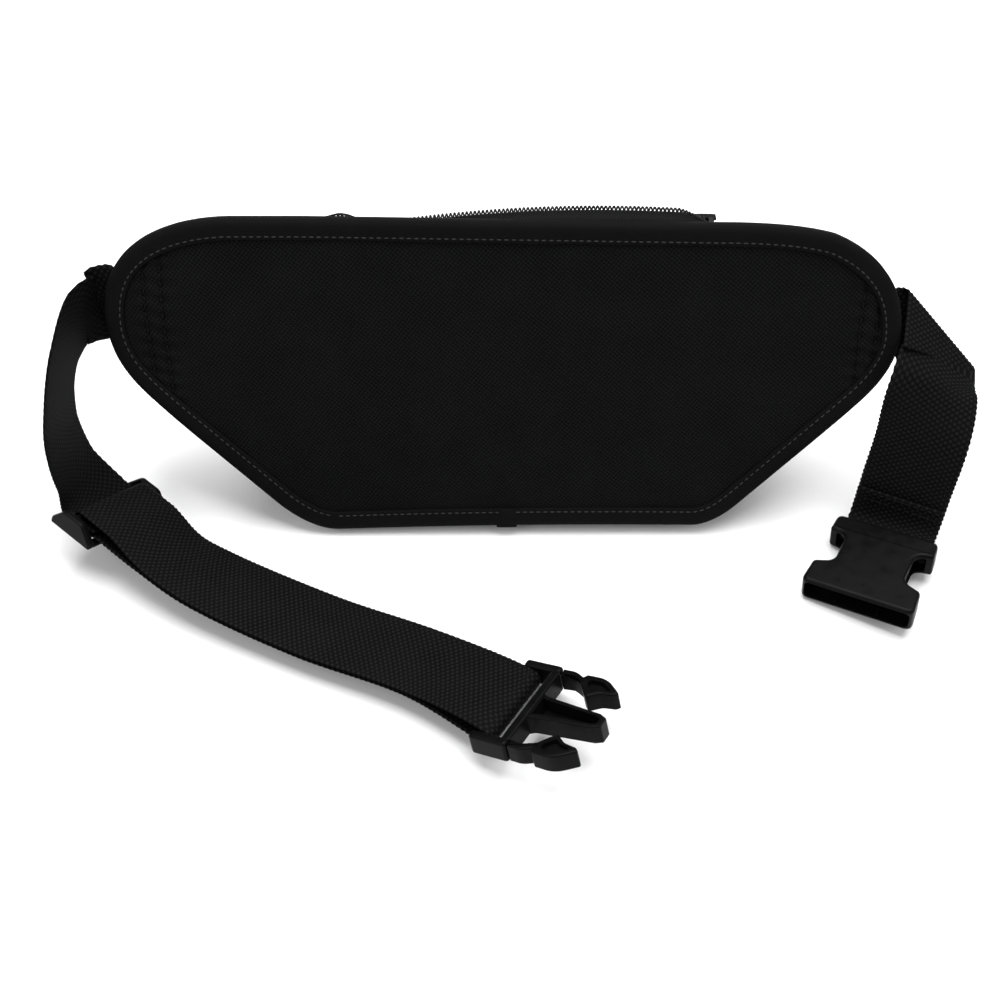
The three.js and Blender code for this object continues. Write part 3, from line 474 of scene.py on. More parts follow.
def back_pad():
    """The outer fabric over its foam, which swells between the rows of stitches."""
    x, height = panel_grid(PAD["edge"], *PAD["grid"])
    coarse = panel_point(x, height, 0.0)
    held = np.zeros(x.shape, bool)
    held[:2], held[-2:], held[:, :2], held[:, -2:] = True, True, True, True
    for line in STITCH_LINES:
        held[np.argmin(np.abs(x[:, 0] - line))] = True
    swell = cloth_swell(coarse, held, PAD["pressure"], PAD["crown"])
    x, height = (finer(q[..., None])[..., 0] for q in (x, height))
    crown = np.clip(-(finer(swell) @ INTO_PANEL), 0, PAD["crown"])
    groove = np.zeros(x.shape)
    for k, line in enumerate(STITCH_LINES):
        wander = line + 0.5 * np.sin(height / 9 + k)
        wave = np.sin(2 * math.pi * height / 6.4 + 2 * k + np.sin(height / 11))
        groove += 1.15 * hump(x - wander, 1.1) - 0.42 * hump(x - wander, 4.5) * wave
    dimple = 0.22 * np.sin(x / 17 + np.sin(height / 13)) * np.sin(height / 15 + x / 60)
    face = panel_point(x, height, groove - crown - dimple)
    back = panel_point(x, height, PAD["back"])
    uv = np.stack([x * 0.995 + height * 0.1, height * 0.995 - x * 0.1], -1)
    pad = shell("back_pad", face, back, [LOOKS["fabric"], LOOKS["lining"]], uv, under_pick=1)
    settle(pad, "pack", "shell_fabric", "back_panel_fabric", "back_foam_pad", "back_lining")


def pad_stitching():
    """Two upright rows of stitches near each end of the panel."""
    runs = []
    for line in STITCH_LINES:
        low, high = span_at(inset(EDGE, BINDING["cover"] + 1), line)
        height = np.linspace(low, high, 60)
        path = panel_point(line + 0.5 * np.sin(height / 9), height, 0.35)
        runs.append((path, spread(-INTO_PANEL, path)))
    stitches("panel_end_stitches", runs, "dark_thread", "pack", "shell_fabric", 3.4, 2.4, 0.32)


def edge_binding():
    """Ribbed tape folded over the panel's edge."""
    cover, wall = BINDING["cover"], BINDING["wall"]
    front, back = -GAP, PAD["back"] + GAP
    outer_side = [
        (cover + 0.1, front + 0.5), (cover, front - 0.55), (cover - 0.5, front - 0.95),
        (cover - 1.4, front - 0.85), (cover * 0.62, front - 1.2), (cover * 0.35, front - 1.3),
        (wall + 0.9, front - 1.15), (0.5, front - 0.5), (0.05, front + 0.6), (-0.1, (front + back) / 2),
        (0.05, back - 0.6), (0.5, back + 0.5), (wall + 0.9, back + 1.0), (cover * 0.6, back + 1.05),
        (cover - 0.5, back + 0.9), (cover, back + 0.4),
    ]
    section = outer_side + [(cover - 0.3, back), (wall + 0.4, back), (wall + 0.4, front)]
    rib = np.where(np.arange(len(EDGE)) % 2, 0.07, -0.07)
    ease = 0.18 * np.sin(EDGE_RUN / 23) + 0.12 * np.sin(EDGE_RUN / 7.3 + 1)
    rings = []
    for k, (depth_in, depth) in enumerate(section):
        rim = inset(EDGE, depth_in)
        if k in (1, 2, 3):
            rim = rim + (inset(EDGE, depth_in + 1) - rim) * ease[:, None]
        sign = 1 if depth > (front + back) / 2 else -1
        rings.append(panel_point(*rim.T, depth + sign * rib * (k < len(outer_side))))
    rings = np.stack(rings, 1)
    across = np.concatenate([[0], np.cumsum(np.linalg.norm(np.diff(rings, axis=1), axis=2).mean(0))])
    uvs = beside(across, EDGE_RUN[:, None]).reshape(-1, 2)
    faces = grid_faces(len(EDGE), len(section), wrap_rows=True, wrap_columns=True)
    tape = make_piece("edge_binding_tape", rings.reshape(-1, 3), faces, [LOOKS["binding"]], uvs)
    settle(tape, "pack", "binding_tape", "edge_binding")


def binding_stitching():
    """A row of stitches along the tape's inner border, on both sides of the panel."""
    rim = inset(EDGE, BINDING["cover"] - 1.5)
    runs = []
    for depth, normal in ((-GAP - 0.82, -INTO_PANEL), (PAD["back"] + GAP + 0.95, INTO_PANEL)):
        line = panel_point(*rim.T, depth)[::6]
        runs.append((line, spread(normal, line)))
    stitches("binding_stitches", runs, "thread", "pack", "binding_tape", 3.0, 2.2, 0.3)


def binding_overlap():
    """The tape's folded end, lapped over its start at the foot."""
    x = np.linspace(-6.0, 3.0, 24)
    section = np.linspace(0, 1, 14)
    low = np.array([span_at(EDGE, q)[0] for q in x])
    cover = BINDING["cover"] + 0.35
    heights = low[:, None] - 0.35 + cover * section[None, :]
    bulge = -GAP - 0.8 - 0.6 * np.sin(math.pi * np.clip(section, 0.02, 0.98)) ** 0.35
    ends = np.minimum(1, 9 * np.minimum(np.linspace(0, 1, 24), np.linspace(1, 0, 24))) ** 0.5
    top = panel_point(x[:, None], heights, bulge[None, :] * ends[:, None] - 0.6 * (1 - ends[:, None]))
    under = panel_point(x[:, None], heights, np.full(heights.shape, -GAP - 0.5))
    lap = shell("binding_lap", top, under, [LOOKS["binding"]], grid_uv(top)[..., ::-1])
    settle(lap, "pack", "binding_tape")


# Pouch
POUCH = {"half": 142, "low": 64, "high": 18, "height": 115, "wall": 1.6, "least": 8}
SEAM = {"start": 124, "panel_x": 131, "inset": 8, "corner": 78, "slant": 62, "end": 94, "top": 101, "drop": 8}
FRONT_Z = 3.0


def pouch_front(x, z, lift=0.0):
    """The pouch's front face; lift moves a point level, away from the panel."""
    x, z, lift = np.broadcast_arrays(*(np.asarray(v, float) for v in (x, z, lift)))
    taper = 1 - np.minimum(1, np.abs(x) / POUCH["half"]) ** 4
    fall = (POUCH["low"] - POUCH["high"]) * (np.maximum(0, z) / POUCH["height"]) ** 2.2
    back = PANEL_BASE[1] + (z - PANEL_BASE[2]) / math.tan(LEAN) + (BEHIND_BINDING + GAP) / math.sin(LEAN)
    return beside(x, back + POUCH["least"] + taper * (POUCH["low"] - fall) + lift, z)


def front_top(x):
    """The height of the front panel's upper border."""
    return SEAM["top"] - SEAM["drop"] * (np.asarray(x, float) / POUCH["half"]) ** 2


def front_half(z):
    """Half the front panel's width at a height."""
    slope = (SEAM["start"] - SEAM["corner"]) / SEAM["slant"]
    return np.minimum(SEAM["start"], SEAM["corner"] + slope * np.maximum(0, z))


def front_panel():
    """The pouch's front, a little slack and puckered along its seams."""
    u, v = even_grid(150, 64)
    x = (2 * u - 1) * (front_half(FRONT_Z + v * (SEAM["top"] - FRONT_Z)) - GAP)
    z = FRONT_Z + v * (front_top(x) - FRONT_Z)
    edge = np.minimum(1, 9 * np.minimum(np.minimum(u, 1 - u), 1.6 * np.minimum(v, 1 - v)))
    slack = 0.35 * np.sin(x / 13 + z / 21) * np.sin(z / 12 - x / 37)
    slack = slack + 0.2 * np.sin(x / 5.5 + 3 * np.sin(z / 19))
    pucker = 0.25 * np.sin(2 * math.pi * (x + z) / 7) * hump(edge - 0.3, 0.2)
    outside = pouch_front(x, z, edge * slack + pucker - 0.5 * (1 - edge))
    inside = pouch_front(x, z, -POUCH["wall"])
    cloths = [LOOKS["fabric"], LOOKS["lining"]]
    panel = shell("pouch_front", outside, inside, cloths, grid_uv(outside), under_pick=1)
    settle(panel, "pack", "shell_fabric", "front_panel")


def gusset_point(t, v):
    """A place on the strip below and beside the pouch: t goes round it, v from the panel to the front."""
    side = math.copysign(1, t - 0.5)
    away = abs(2 * t - 1)
    slant = min(1.0, max(0.0, (away - 0.45) / 0.3))
    upright = max(0.0, (away - 0.75) / 0.25)
    flat = min(1.0, away / 0.45)
    x = side * (SEAM["corner"] * flat + (SEAM["start"] - SEAM["corner"]) * slant)
    z = SEAM["slant"] * slant + (SEAM["end"] - SEAM["slant"]) * upright
    outer = pouch_front(x, max(z, FRONT_Z), -POUCH["wall"] - 2 * GAP)
    outer[2] = z
    seam_x = side * (SEAM["corner"] * flat + (SEAM["panel_x"] - SEAM["corner"]) * slant)
    low, high = span_at(EDGE, seam_x)
    start = low + SEAM["inset"] + 3 * slant
    inner = panel_point(seam_x, start + (high - SEAM["inset"] - start) * upright, BEHIND_BINDING + 3 * GAP)
    p = inner * (1 - v) + outer * v
    level = outer[2] + (inner[2] - outer[2]) * max(0.0, 1 - 7 * v)
    share = float(smoothstep(slant, 0, 0.4))
    p[2] = level * (1 - share) + p[2] * share
    return p


def gusset():
    """The strip round the pouch, creased across."""
    t, v = np.linspace(0, 1, 190), np.linspace(0, 1, 26)
    outside = np.array([[gusset_point(a, b) for b in v] for a in t])
    run = np.gradient(outside, axis=0)
    inward = unit(np.stack([-run[..., 2], 0 * run[..., 0], run[..., 0]], -1))
    lifted = smoothstep(outside[..., 2], 6, 20) * np.sin(math.pi * v) ** 0.7
    crease = np.sin(t[:, None] * 95 + 2 * np.sin(5 * v)) * 0.45 + 0.35 * np.sin(t[:, None] * 41 + v * 4)
    skin = outside + inward * (lifted * (crease + 0.3))[..., None]
    strip = shell("pouch_gusset", skin, outside + inward * POUCH["wall"], [LOOKS["fabric"], LOOKS["lining"]],
                  grid_uv(outside), under_pick=1)
    settle(strip, "pack", "shell_fabric", "lower_gusset")


def seam_piping():
    """A covered cord in the seam round the pouch's front."""
    z = np.linspace(FRONT_Z + 1, SEAM["end"], 90)
    left = pouch_front(-front_half(z), z, -0.4)
    foot_x = np.linspace(-front_half(FRONT_Z), front_half(FRONT_Z), 80)[1:-1]
    foot = pouch_front(foot_x, FRONT_Z + 0 * foot_x, -0.4)
    right = pouch_front(front_half(z), z, -0.4)
    line = np.concatenate([left[::-1], foot, right])
    for _ in range(6):
        line[1:-1] = (line[:-2] + 2 * line[1:-1] + line[2:]) / 4
    settle(sweep("pouch_piping", line, 1.15, LOOKS["binding"], point(0, 1, 0.01)), "pack", "binding_tape")


# Main zip
ZIP = {
    "middle": 35, "top": 127.3, "radius": 500, "y": 69.5 - FOOT_Y, "left": -106, "right": 86, "closed": 1.35,
}
OPEN = {"rear": 5.5, "front": 7, "front_drop": 11, "end_drop": 9}
COIL = {"radius": 1.1, "wire": 0.42, "pitch": 1.67}
TAPE = {"width": 3.5, "high": 0.3, "rear_fall": 3.4, "front_fall": 2.0}


def zip_height(x):
    """The height of the zip's arc."""
    return ZIP["top"] - ZIP["radius"] + np.sqrt(ZIP["radius"] ** 2 - (x - ZIP["middle"]) ** 2)


def openness(x):
    """How far the zip is open, from 0 to 1."""
    return smoothstep(x, -99, -62) * (1 - smoothstep(x, 70, 86))


def end_drop(x):
    """How far the zip sinks towards its open end."""
    return OPEN["end_drop"] * smoothstep(x, 68, 86)


def rear_half(x):
    """The middle of the rear coil, as y and z."""
    y = ZIP["y"] - ZIP["closed"] - (OPEN["rear"] - ZIP["closed"]) * openness(x)
    return y, zip_height(x) - end_drop(x)


def front_half_of_zip(x):
    """The middle of the front coil, as y and z."""
    rise = (OPEN["front_drop"] - OPEN["end_drop"]) * smoothstep(x, 68, 86)
    drop = np.maximum(end_drop(x), OPEN["front_drop"] * smoothstep(x, -74, -54) - rise)
    return ZIP["y"] + ZIP["closed"] + (OPEN["front"] - ZIP["closed"]) * openness(x), zip_height(x) - drop


def zip_lines(x):
    """The tapes' and strips' borders along the zip, each as (y, z)."""
    (ry, rz), (fy, fz) = rear_half(x), front_half_of_zip(x)
    opened = openness(x)
    rear_edge = (ry - COIL["radius"] - GAP, rz + TAPE["high"])
    rear_seam = (rear_edge[0] - TAPE["width"], rear_edge[1] - TAPE["rear_fall"] * opened)
    front_edge = (fy + COIL["radius"] + GAP, fz + TAPE["high"])
    front_seam = (front_edge[0] + TAPE["width"] - 2 * opened, front_edge[1] - TAPE["front_fall"] * opened)
    highs = np.array([span_at(EDGE, q)[1] for q in x])
    foot = panel_point(x, highs - SEAM["inset"], BEHIND_BINDING + GAP)
    front = pouch_front(x, front_top(x), -POUCH["wall"])
    return {
        "rear_edge": rear_edge, "rear_seam": rear_seam, "rear_foot": (foot[:, 1], foot[:, 2]),
        "front_edge": front_edge, "front_seam": front_seam,
        "front_foot": (front[:, 1], front[:, 2] + POUCH["wall"] + GAP),
    }


def zip_sheet(name, x, start, end, thickness, look, shape):
    """A strip beside the zip from one border to another; shape lifts it by a function of its width."""
    v = np.linspace(0, 1, 16)
    y = start[0][:, None] + (end[0] - start[0])[:, None] * v
    z = start[1][:, None] + (end[1] - start[1])[:, None] * v + shape(v)[None, :]
    top = beside(x[:, None], y, z)
    return shell(name, top, top - point(0, 0, thickness), [LOOKS[look]], grid_uv(top))


def shifted(line, dy, dz=0.0):
    return line[0] + dy, line[1] + dz


STRIP_THICK = 1.2
TAPE_THICK = 0.8


def top_of_pouch():
    """The strips and tapes beside the zip, and the plain ends of the top."""
    x = np.linspace(ZIP["left"], ZIP["right"], 150)
    lines = zip_lines(x)
    fold = lambda v: 0.55 * hump(v - 0.9, 0.07) + 0.25 * np.sin(math.pi * v)
    flat = lambda v: 0.12 * np.sin(2 * math.pi * v)
    front = lambda v: 0.3 * np.sin(math.pi * v)
    rear_end, front_start = shifted(lines["rear_seam"], -GAP), shifted(lines["front_seam"], GAP, -1.5)
    for name, start, end, shape, node in (
        ("rear_strip", lines["rear_foot"], rear_end, fold, "rear_top_strip"),
        ("front_strip", front_start, lines["front_foot"], front, "front_top_strip"),
    ):
        settle(zip_sheet(name, x, start, end, STRIP_THICK, "fabric", shape), "pack", "shell_fabric", node)
    for name, start, end, node in (
        ("rear_tape", lines["rear_seam"], lines["rear_edge"], "rear_zip_tape"),
        ("front_tape", lines["front_edge"], lines["front_seam"], "front_zip_tape"),
    ):
        settle(zip_sheet(name, x, start, end, TAPE_THICK, "tape", flat), "pack", "zip_tape", node)
    fold_line = beside(x, *shifted(lines["rear_seam"], -1.3, 0.1))
    runs = [(fold_line, spread(point(0, -0.5, 0.85), fold_line))]
    stitches("zip_stitches", runs, "thread", "pack", "shell_fabric", 2.8, 2.0, 0.28)
    for low, high, node in (
        (-SEAM["start"], ZIP["left"] - GAP, "left_top_end"),
        (ZIP["right"] + GAP, SEAM["start"], "right_top_end"),
    ):
        x = np.linspace(low, high, 24)
        lines = zip_lines(x)
        crown = lambda v: 0.5 * np.sin(math.pi * v) + 0.35 * np.sin(5 * v) * np.sin(math.pi * v)
        borders = lines["rear_foot"], lines["front_foot"]
        end = zip_sheet(node + "_cloth", x, *borders, STRIP_THICK, "fabric", crown)
        settle(end, "pack", "shell_fabric", node)


def coil_turns(length):
    """The angles along a spiral of wire, and how far along it each lies."""
    turns = length / COIL["pitch"]
    angle = np.linspace(0, turns * 2 * math.pi, int(turns * 12))
    return angle, angle / (2 * math.pi) * COIL["pitch"]


def coil_piece(name, line, wire, node):
    settle(sweep(name, line, wire, LOOKS["coil"], point(1, 0.02, 0.03), 6), "pack", "zip_coil", node)


def main_zip():
    """Each half of the zip: a spiral of wire whose outer side bites the other half."""
    x = np.linspace(ZIP["left"] + 1, ZIP["right"] - 5, 300)
    wide = COIL["radius"] - COIL["wire"] * 0.6
    for half, (y, z) in (("rear", rear_half(x)), ("front", front_half_of_zip(x))):
        run = distances(beside(x, z))
        angle, along = coil_turns(run[-1])
        line = beside(*(np.interp(along, run, q) for q in (x, y, z)))
        line = line + wide * beside(0, 1.15 * np.cos(angle), np.sin(angle))
        coil_piece(half + "_coil", line, COIL["wire"], half + "_zip_coil")


# Front pocket
POCKET = {
    "half": 84, "low": 9, "top": 78, "lift": 3.2, "zip_radius": 800, "zip_half": 78, "zip_z": 84,
    "grid": (41, 19), "pressure": 6.0, "crown": 5.0, "sewn": 0.024, "sewn_low": 0.06,
}


def pocket_surface(u, v, extra):
    """A place on the pocket: u across, v upwards, and extra away from the pouch."""
    z = POCKET["low"] + v * (POCKET["top"] - POCKET["low"])
    x = (2 * u - 1) * np.minimum(POCKET["half"], front_half(z) - 10)
    edge = np.minimum(1, np.minimum(9 * np.minimum(u, 1 - u), 6 * v + 0.15))
    return pouch_front(x, z, GAP + POCKET["lift"] * np.sin(edge * math.pi / 2) + extra)


def front_pocket():
    """The pocket's cloth, swelled and sewn down on three sides."""
    u, v = even_grid(*POCKET["grid"])
    held = np.zeros(u.shape, bool)
    held[:2], held[-2:], held[:, :2], held[:, -1:] = True, True, True, True
    swell = cloth_swell(pocket_surface(u, v, 0.8), held, POCKET["pressure"], POCKET["crown"])
    swell[..., 1] = np.abs(swell[..., 1])
    u, v = (finer(q[..., None])[..., 0] for q in (u, v))
    near = np.minimum(np.minimum(u, 1 - u) * 2 * POCKET["half"], v * (POCKET["top"] - POCKET["low"]))
    groove = -0.5 * hump(near - 4, 1.0)
    slack = 0.3 * np.sin(u * 31 + 3 * np.sin(v * 5)) * np.sin(math.pi * v) * np.sin(math.pi * u)
    face = pocket_surface(u, v, 0.8 + groove + slack) + finer(swell)
    cloth = shell("pocket_front", face, pocket_surface(u, v, 0.0), [LOOKS["fabric"]], grid_uv(face))
    settle(cloth, "pack", "shell_fabric", "pocket_panel")
    side, low = POCKET["sewn"], POCKET["sewn_low"]
    corners = [(side, 0.98), (side, low), (1 - side, low), (1 - side, 0.98)]
    runs = []
    for start, end in zip(corners, corners[1:]):
        u, v = (a + (b - a) * np.linspace(0, 1, 70) for a, b in zip(start, end))
        line = pocket_surface(u, v, 0.9)
        runs.append((line, spread(point(0, 1, 0), line)))
    stitches("pocket_stitches", runs, "thread", "pack", "shell_fabric", 3.2, 2.3, 0.3)


def pocket_arc(x):
    """How far forward the pocket's zip lies."""
    return pouch_front(0, POCKET["zip_z"])[1] + POCKET["lift"] + 1.2 - x ** 2 / (2 * POCKET["zip_radius"])


def pocket_zip():
    """The pocket's closed zip on its bowed tape."""
    x = np.linspace(-POCKET["zip_half"], POCKET["zip_half"], 120)
    v = np.linspace(-5, 5, 12)
    outside = beside(x[:, None], pocket_arc(x)[:, None] - 0.25 * (v / 5) ** 2, POCKET["zip_z"] + v)
    under = outside - point(0, TAPE_THICK, 0)
    tape = shell("pocket_tape", outside, under, [LOOKS["tape"]], grid_uv(outside))
    settle(tape, "pack", "zip_tape", "pocket_zip_tape")
    angle, along = coil_turns(x[-1] - x[0])
    spiral = beside(x[0] + along, pocket_arc(x[0] + along) + 0.85 + 0.4 * np.sin(angle), 0.62 * np.cos(angle))
    for name, side in (("pocket_coil_low", -1), ("pocket_coil_high", 1)):
        coil_piece(name, spiral + point(0, 0, POCKET["zip_z"] + side * 0.75), 0.3, "pocket_zip_coil")


# Webbing
COLUMNS = np.linspace(-0.5, 0.5, 2 * WEBBING["cords"] + 1)
ACROSS_STRAP = COLUMNS[:, None] * WEBBING["width"]


def catmull_rom(points, t):
    """A point of the centripetal curve through some points, t from 0 to 1."""
    place = (len(points) - 1) * t
    i = min(int(place), len(points) - 2)
    w = place - i
    p1, p2 = points[i], points[i + 1]
    p0 = points[i - 1] if i > 0 else 2 * points[0] - points[1]
    p3 = points[i + 2] if i + 2 < len(points) else 2 * points[-1] - points[-2]
    d0, d1, d2 = (max(np.linalg.norm(b - a) ** 0.5, 1e-4) for a, b in ((p0, p1), (p1, p2), (p2, p3)))
    m1 = ((p1 - p0) / d0 - (p2 - p0) / (d0 + d1) + (p2 - p1) / d1) * d1
    m2 = ((p2 - p1) / d1 - (p3 - p1) / (d1 + d2) + (p3 - p2) / d2) * d1
    return p1 + m1 * w + (-3 * p1 + 3 * p2 - 2 * m1 - m2) * w ** 2 + (2 * p1 - 2 * p2 + m1 + m2) * w ** 3


class Frame:
    """A piece's own axes: along, across and up, turned by heading, pitch and roll in degrees."""

    def __init__(self, place, heading, pitch, roll):
        h, p, r = (math.radians(q) for q in (heading, pitch, roll))
        self.origin = point(*place)
        self.along = point(math.cos(p) * math.cos(h), math.cos(p) * math.sin(h), math.sin(p))
        level = point(-math.sin(h), math.cos(h), 0)
        self.across = level * math.cos(r) + np.cross(self.along, level) * math.sin(r)
        self.up = np.cross(self.along, self.across)

    def at(self, s, w, n):
        return self.origin + s * self.along + w * self.across + n * self.up

    def pair(self, s, n):
        half = WEBBING["width"] / 2
        return self.at(s, half, n), self.at(s, -half, n)


GLIDE = Frame((-173.9, -2 - FOOT_Y, 16.7), -37.3, -8.9, -21.5)
PLUG = Frame((7.3, -102.7 - FOOT_Y, 12.2), -28.3, 18, -8.2)
SOCKET = Frame((164.3, -10.9 - FOOT_Y, 8.8), -119, 0, 6.4)
SOCKET_STRAP = copy.copy(SOCKET)
SOCKET_STRAP.across = -SOCKET.across
PLUG_BAR = {"at": -9.5, "radius": 3.4}
SOCKET_BAR = {"at": 4.4, "radius": 2.98}
LAYER = 1.8


def pairs(*rows):
    """The two borders of a strap at some places, with y counted from the pack's foot."""
    return [(point(*a) - point(0, FOOT_Y, 0), point(*b) - point(0, FOOT_Y, 0)) for a, b in rows]


LEFT_PATH = pairs(
    ((-167.5, 41.5, 72), (-163.5, 53, 105.5)),
    ((-175.5, 52, 68.5), (-172.5, 48.5, 104.5)),
    ((-181.3, 49, 69), (-179.5, 38, 105)),
    ((-185.9, 43, 65.3), (-185.7, 16, 92.2)),
    ((-190, 32, 49.6), (-189.5, 4, 75.3)),
    ((-190, 28.5, 35), (-192.5, -2, 58)),
    ((-185, 25.5, 19.5), (-193, -5.5, 40)),
) + [GLIDE.pair(-10, 0), GLIDE.pair(14, 0), GLIDE.pair(34, 0)] + pairs(
    ((-118, -19.5, 4.3), (-134.5, -52, 14)),
    ((-71.5, -42, 2.8), (-89, -74, 10.2)),
    ((-22, -63, 3.2), (-42, -94, 10.5)),
) + [PLUG.pair(PLUG_BAR["at"], -PLUG_BAR["radius"])]

FOLD = {
    "top": point(166.3, 49 - FOOT_Y, 95), "inner": point(162.4, 27.5 - FOOT_Y, 83.1),
    "outer": point(197, 30 - FOOT_Y, 67.5), "radius": 2.5, "turn": math.radians(140), "reach": 33,
}

RIGHT_PATH = [(FOLD["inner"], FOLD["outer"])] + pairs(
    ((158.2, 21, 76.7), (194.6, 17.7, 66.8)),
    ((155.7, 16, 50), (191.9, 0.5, 52)),
    ((153.2, 10, 27.4), (188.6, -6, 28.8)),
) + [SOCKET_STRAP.pair(-8, 0), SOCKET_STRAP.pair(SOCKET_BAR["at"], -SOCKET_BAR["radius"])]


def path_section(path, t, offset):
    """One section of a strap on a path: a row of points across it, and the way its upper side faces."""
    inner, outer = [a for a, _ in path], [b for _, b in path]
    middle = lambda q: (catmull_rom(inner, q) + catmull_rom(outer, q)) / 2
    along = unit(middle(min(1, t + 0.004)) - middle(max(0, t - 0.004)))
    across = catmull_rom(inner, t) - catmull_rom(outer, t)
    across = unit(across - across @ along * along)
    up = np.cross(along, across)
    row = middle(t) + offset * up + ACROSS_STRAP * across
    return row, spread(up, row)


def turn_section(axes, bar_at, bar_high, radius, degrees):
    """One section of a strap that goes round a bar."""
    angle = math.radians(degrees)
    out = axes.along * math.cos(angle) + axes.up * math.sin(angle)
    row = axes.at(bar_at, 0, bar_high) + radius * out + ACROSS_STRAP * axes.across
    return row, spread(out, row)


def fold_section(distance):
    """One section of the right strap's slanted fold, a distance up from the fold's lower end."""
    across = unit(FOLD["outer"] - FOLD["inner"])
    down = unit(FOLD["inner"] - FOLD["top"])
    crease = unit(FOLD["outer"] - FOLD["top"])
    behind = unit(np.cross(across, down))
    beyond = unit(crease * (down @ crease) - down)
    row = FOLD["inner"] + (FOLD["outer"] - FOLD["inner"]) * (0.5 - COLUMNS)[:, None]
    row = row - down * distance - FOLD["top"]
    past = row @ beyond
    angle = np.clip(past / FOLD["radius"], 0, FOLD["turn"])
    rest = np.maximum(0, past) - angle * FOLD["radius"]
    sine, cosine = np.sin(angle), np.cos(angle)
    out = np.minimum(0, past) + FOLD["radius"] * sine + rest * cosine
    back = FOLD["radius"] * (1 - cosine) + rest * sine
    spot = FOLD["top"] + (row @ crease)[:, None] * crease + out[:, None] * beyond + back[:, None] * behind
    return spot, cosine[:, None] * behind - sine[:, None] * beyond


def webbing(name, sections):
    """A woven strap through some sections: cords side by side that rise and dip in turn."""
    rows, normals = (np.array(field) for field in zip(*sections))
    run = distances(rows[:, len(COLUMNS) // 2])
    count = max(4, round(run[-1] / WEBBING["station"]))
    even = np.linspace(0, run[-1], count + 1)
    k = np.clip(np.searchsorted(run, even, side="right") - 1, 0, len(run) - 2)
    w = ((even - run[k]) / np.maximum(run[k + 1] - run[k], 1e-9))[:, None, None]
    rows = rows[k] * (1 - w) + rows[k + 1] * w
    normals = unit(normals[k] * (1 - w) + normals[k + 1] * w)
    columns = np.arange(len(COLUMNS))
    station = np.arange(count + 1)[:, None]
    crest = (columns % 2).astype(float)
    raised = ((station + (columns // 2)) % 2).astype(float)
    relief = WEBBING["relief"]
    half = WEBBING["thickness"] / 2
    edge = np.minimum(1, np.minimum(columns, columns[::-1]) / 1.5) ** 0.5
    top = (half - relief * (1 - crest * (0.35 + 0.65 * raised))) * edge
    under = (half - relief * (1 - crest * (1 - 0.65 * raised))) * edge
    across = unit(rows[:, -1:] - rows[:, :1])
    ends = np.where(columns == 0, -1.0, 0) + np.where(columns == len(COLUMNS) - 1, 1.0, 0)
    scallop = 0.3 * np.where(station % 2, 1.0, -0.4) * ends
    rows = rows + across * scallop[..., None]
    upper = rows + normals * top[..., None]
    lower = rows - normals * (under + 0.02)[..., None]
    uv = beside(ACROSS_STRAP[:, 0], even[:, None])
    return shell(name, upper, lower, [LOOKS["webbing"]], uv)


def at_left(count):
    """Where on the left path, from 0 to 1, some of its places have gone by."""
    return count / (len(LEFT_PATH) - 1)


def anchor_sections(side, start, end, low):
    """The strap's sewn end, flat behind the wing."""
    rows = []
    for x in np.linspace(start, end, 20):
        row = panel_point(side * x, low + WEBBING["width"] * (0.5 - COLUMNS), BEHIND_BINDING + 3 * GAP)
        rows.append((row, spread(-INTO_PANEL, row)))
    return rows


def bending_cloth(name, sections, node):
    """A strap through some sections, on no body, that stands in for a node of the CAD."""
    piece = webbing(name, sections)
    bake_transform(piece)
    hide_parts(node)


def root_and_strap(strap, side, sections, reach):
    """A strap in two parts, cut a reach away from the middle: the sewn root, which is on no body, and
    the rest, which goes with the strap."""
    cut_at = next(k for k, (row, _) in enumerate(sections) if (side * row[:, 0]).min() > reach)
    root = sections[:cut_at + 1]
    bending_cloth(strap + "_root", root, strap + "_anchor")
    settle(webbing(strap + "_cloth", sections[cut_at:]), strap, "webbing", strap + "_webbing")


def left_strap():
    """The strap from behind the wing, through the adjuster, to the plug's bar."""
    root = anchor_sections(-1, 136, 161, 77.2)
    running = [path_section(LEFT_PATH, t, 0.0) for t in np.linspace(0.0, 1, 420)]
    root_and_strap("left_strap", -1, root + running, 171.5)


CENTRE_BAR = {"high": 4.2, "radius": 1.3 + GAP + 0.7}


def left_return():
    """The strap's tail: round the plug's bar, back over the strap, and sewn round the adjuster's bar."""
    turn = [turn_section(PLUG, PLUG_BAR["at"], 0, PLUG_BAR["radius"], a) for a in np.linspace(-80, 78, 40)]
    start, end = 0.993, at_left(8.15)
    step = lambda t: LAYER + (2 * PLUG_BAR["radius"] - LAYER) * smoothstep(t, 0.91, 1)
    rise = CENTRE_BAR["high"] + CENTRE_BAR["radius"]
    back = []
    for t in np.linspace(start, end, 240):
        near = smoothstep(t, at_left(9.3), at_left(7.95))
        back.append(path_section(LEFT_PATH, t, step(t) + (rise - LAYER) * near))
    high, radius = CENTRE_BAR["high"], CENTRE_BAR["radius"]
    loop = [turn_section(GLIDE, 0, high, radius, a) for a in np.linspace(90, 268, 30)]
    tail = []
    for s in np.linspace(1, 9, 8):
        row = GLIDE.at(s, 0, high - radius + 0.1) + ACROSS_STRAP * GLIDE.across
        tail.append((row, spread(-GLIDE.up, row)))
    start, end = (GLIDE.at(s, 0, 4) for s in (16, 62))
    sections = turn + back + loop + tail
    bending_cloth("left_return_cloth", sections, "adjuster_loop")


def right_strap():
    """The strap from behind the wing, over its slanted fold, down to the socket's bar."""
    root = anchor_sections(1, 134.5, 149.5, 68)
    folded = [fold_section(FOLD["reach"] * (1 - k / 60)) for k in range(60)]
    running = [path_section(RIGHT_PATH, t, 0.0) for t in np.linspace(0, 1, 160)]
    root_and_strap("right_strap", 1, root + folded + running, 160)


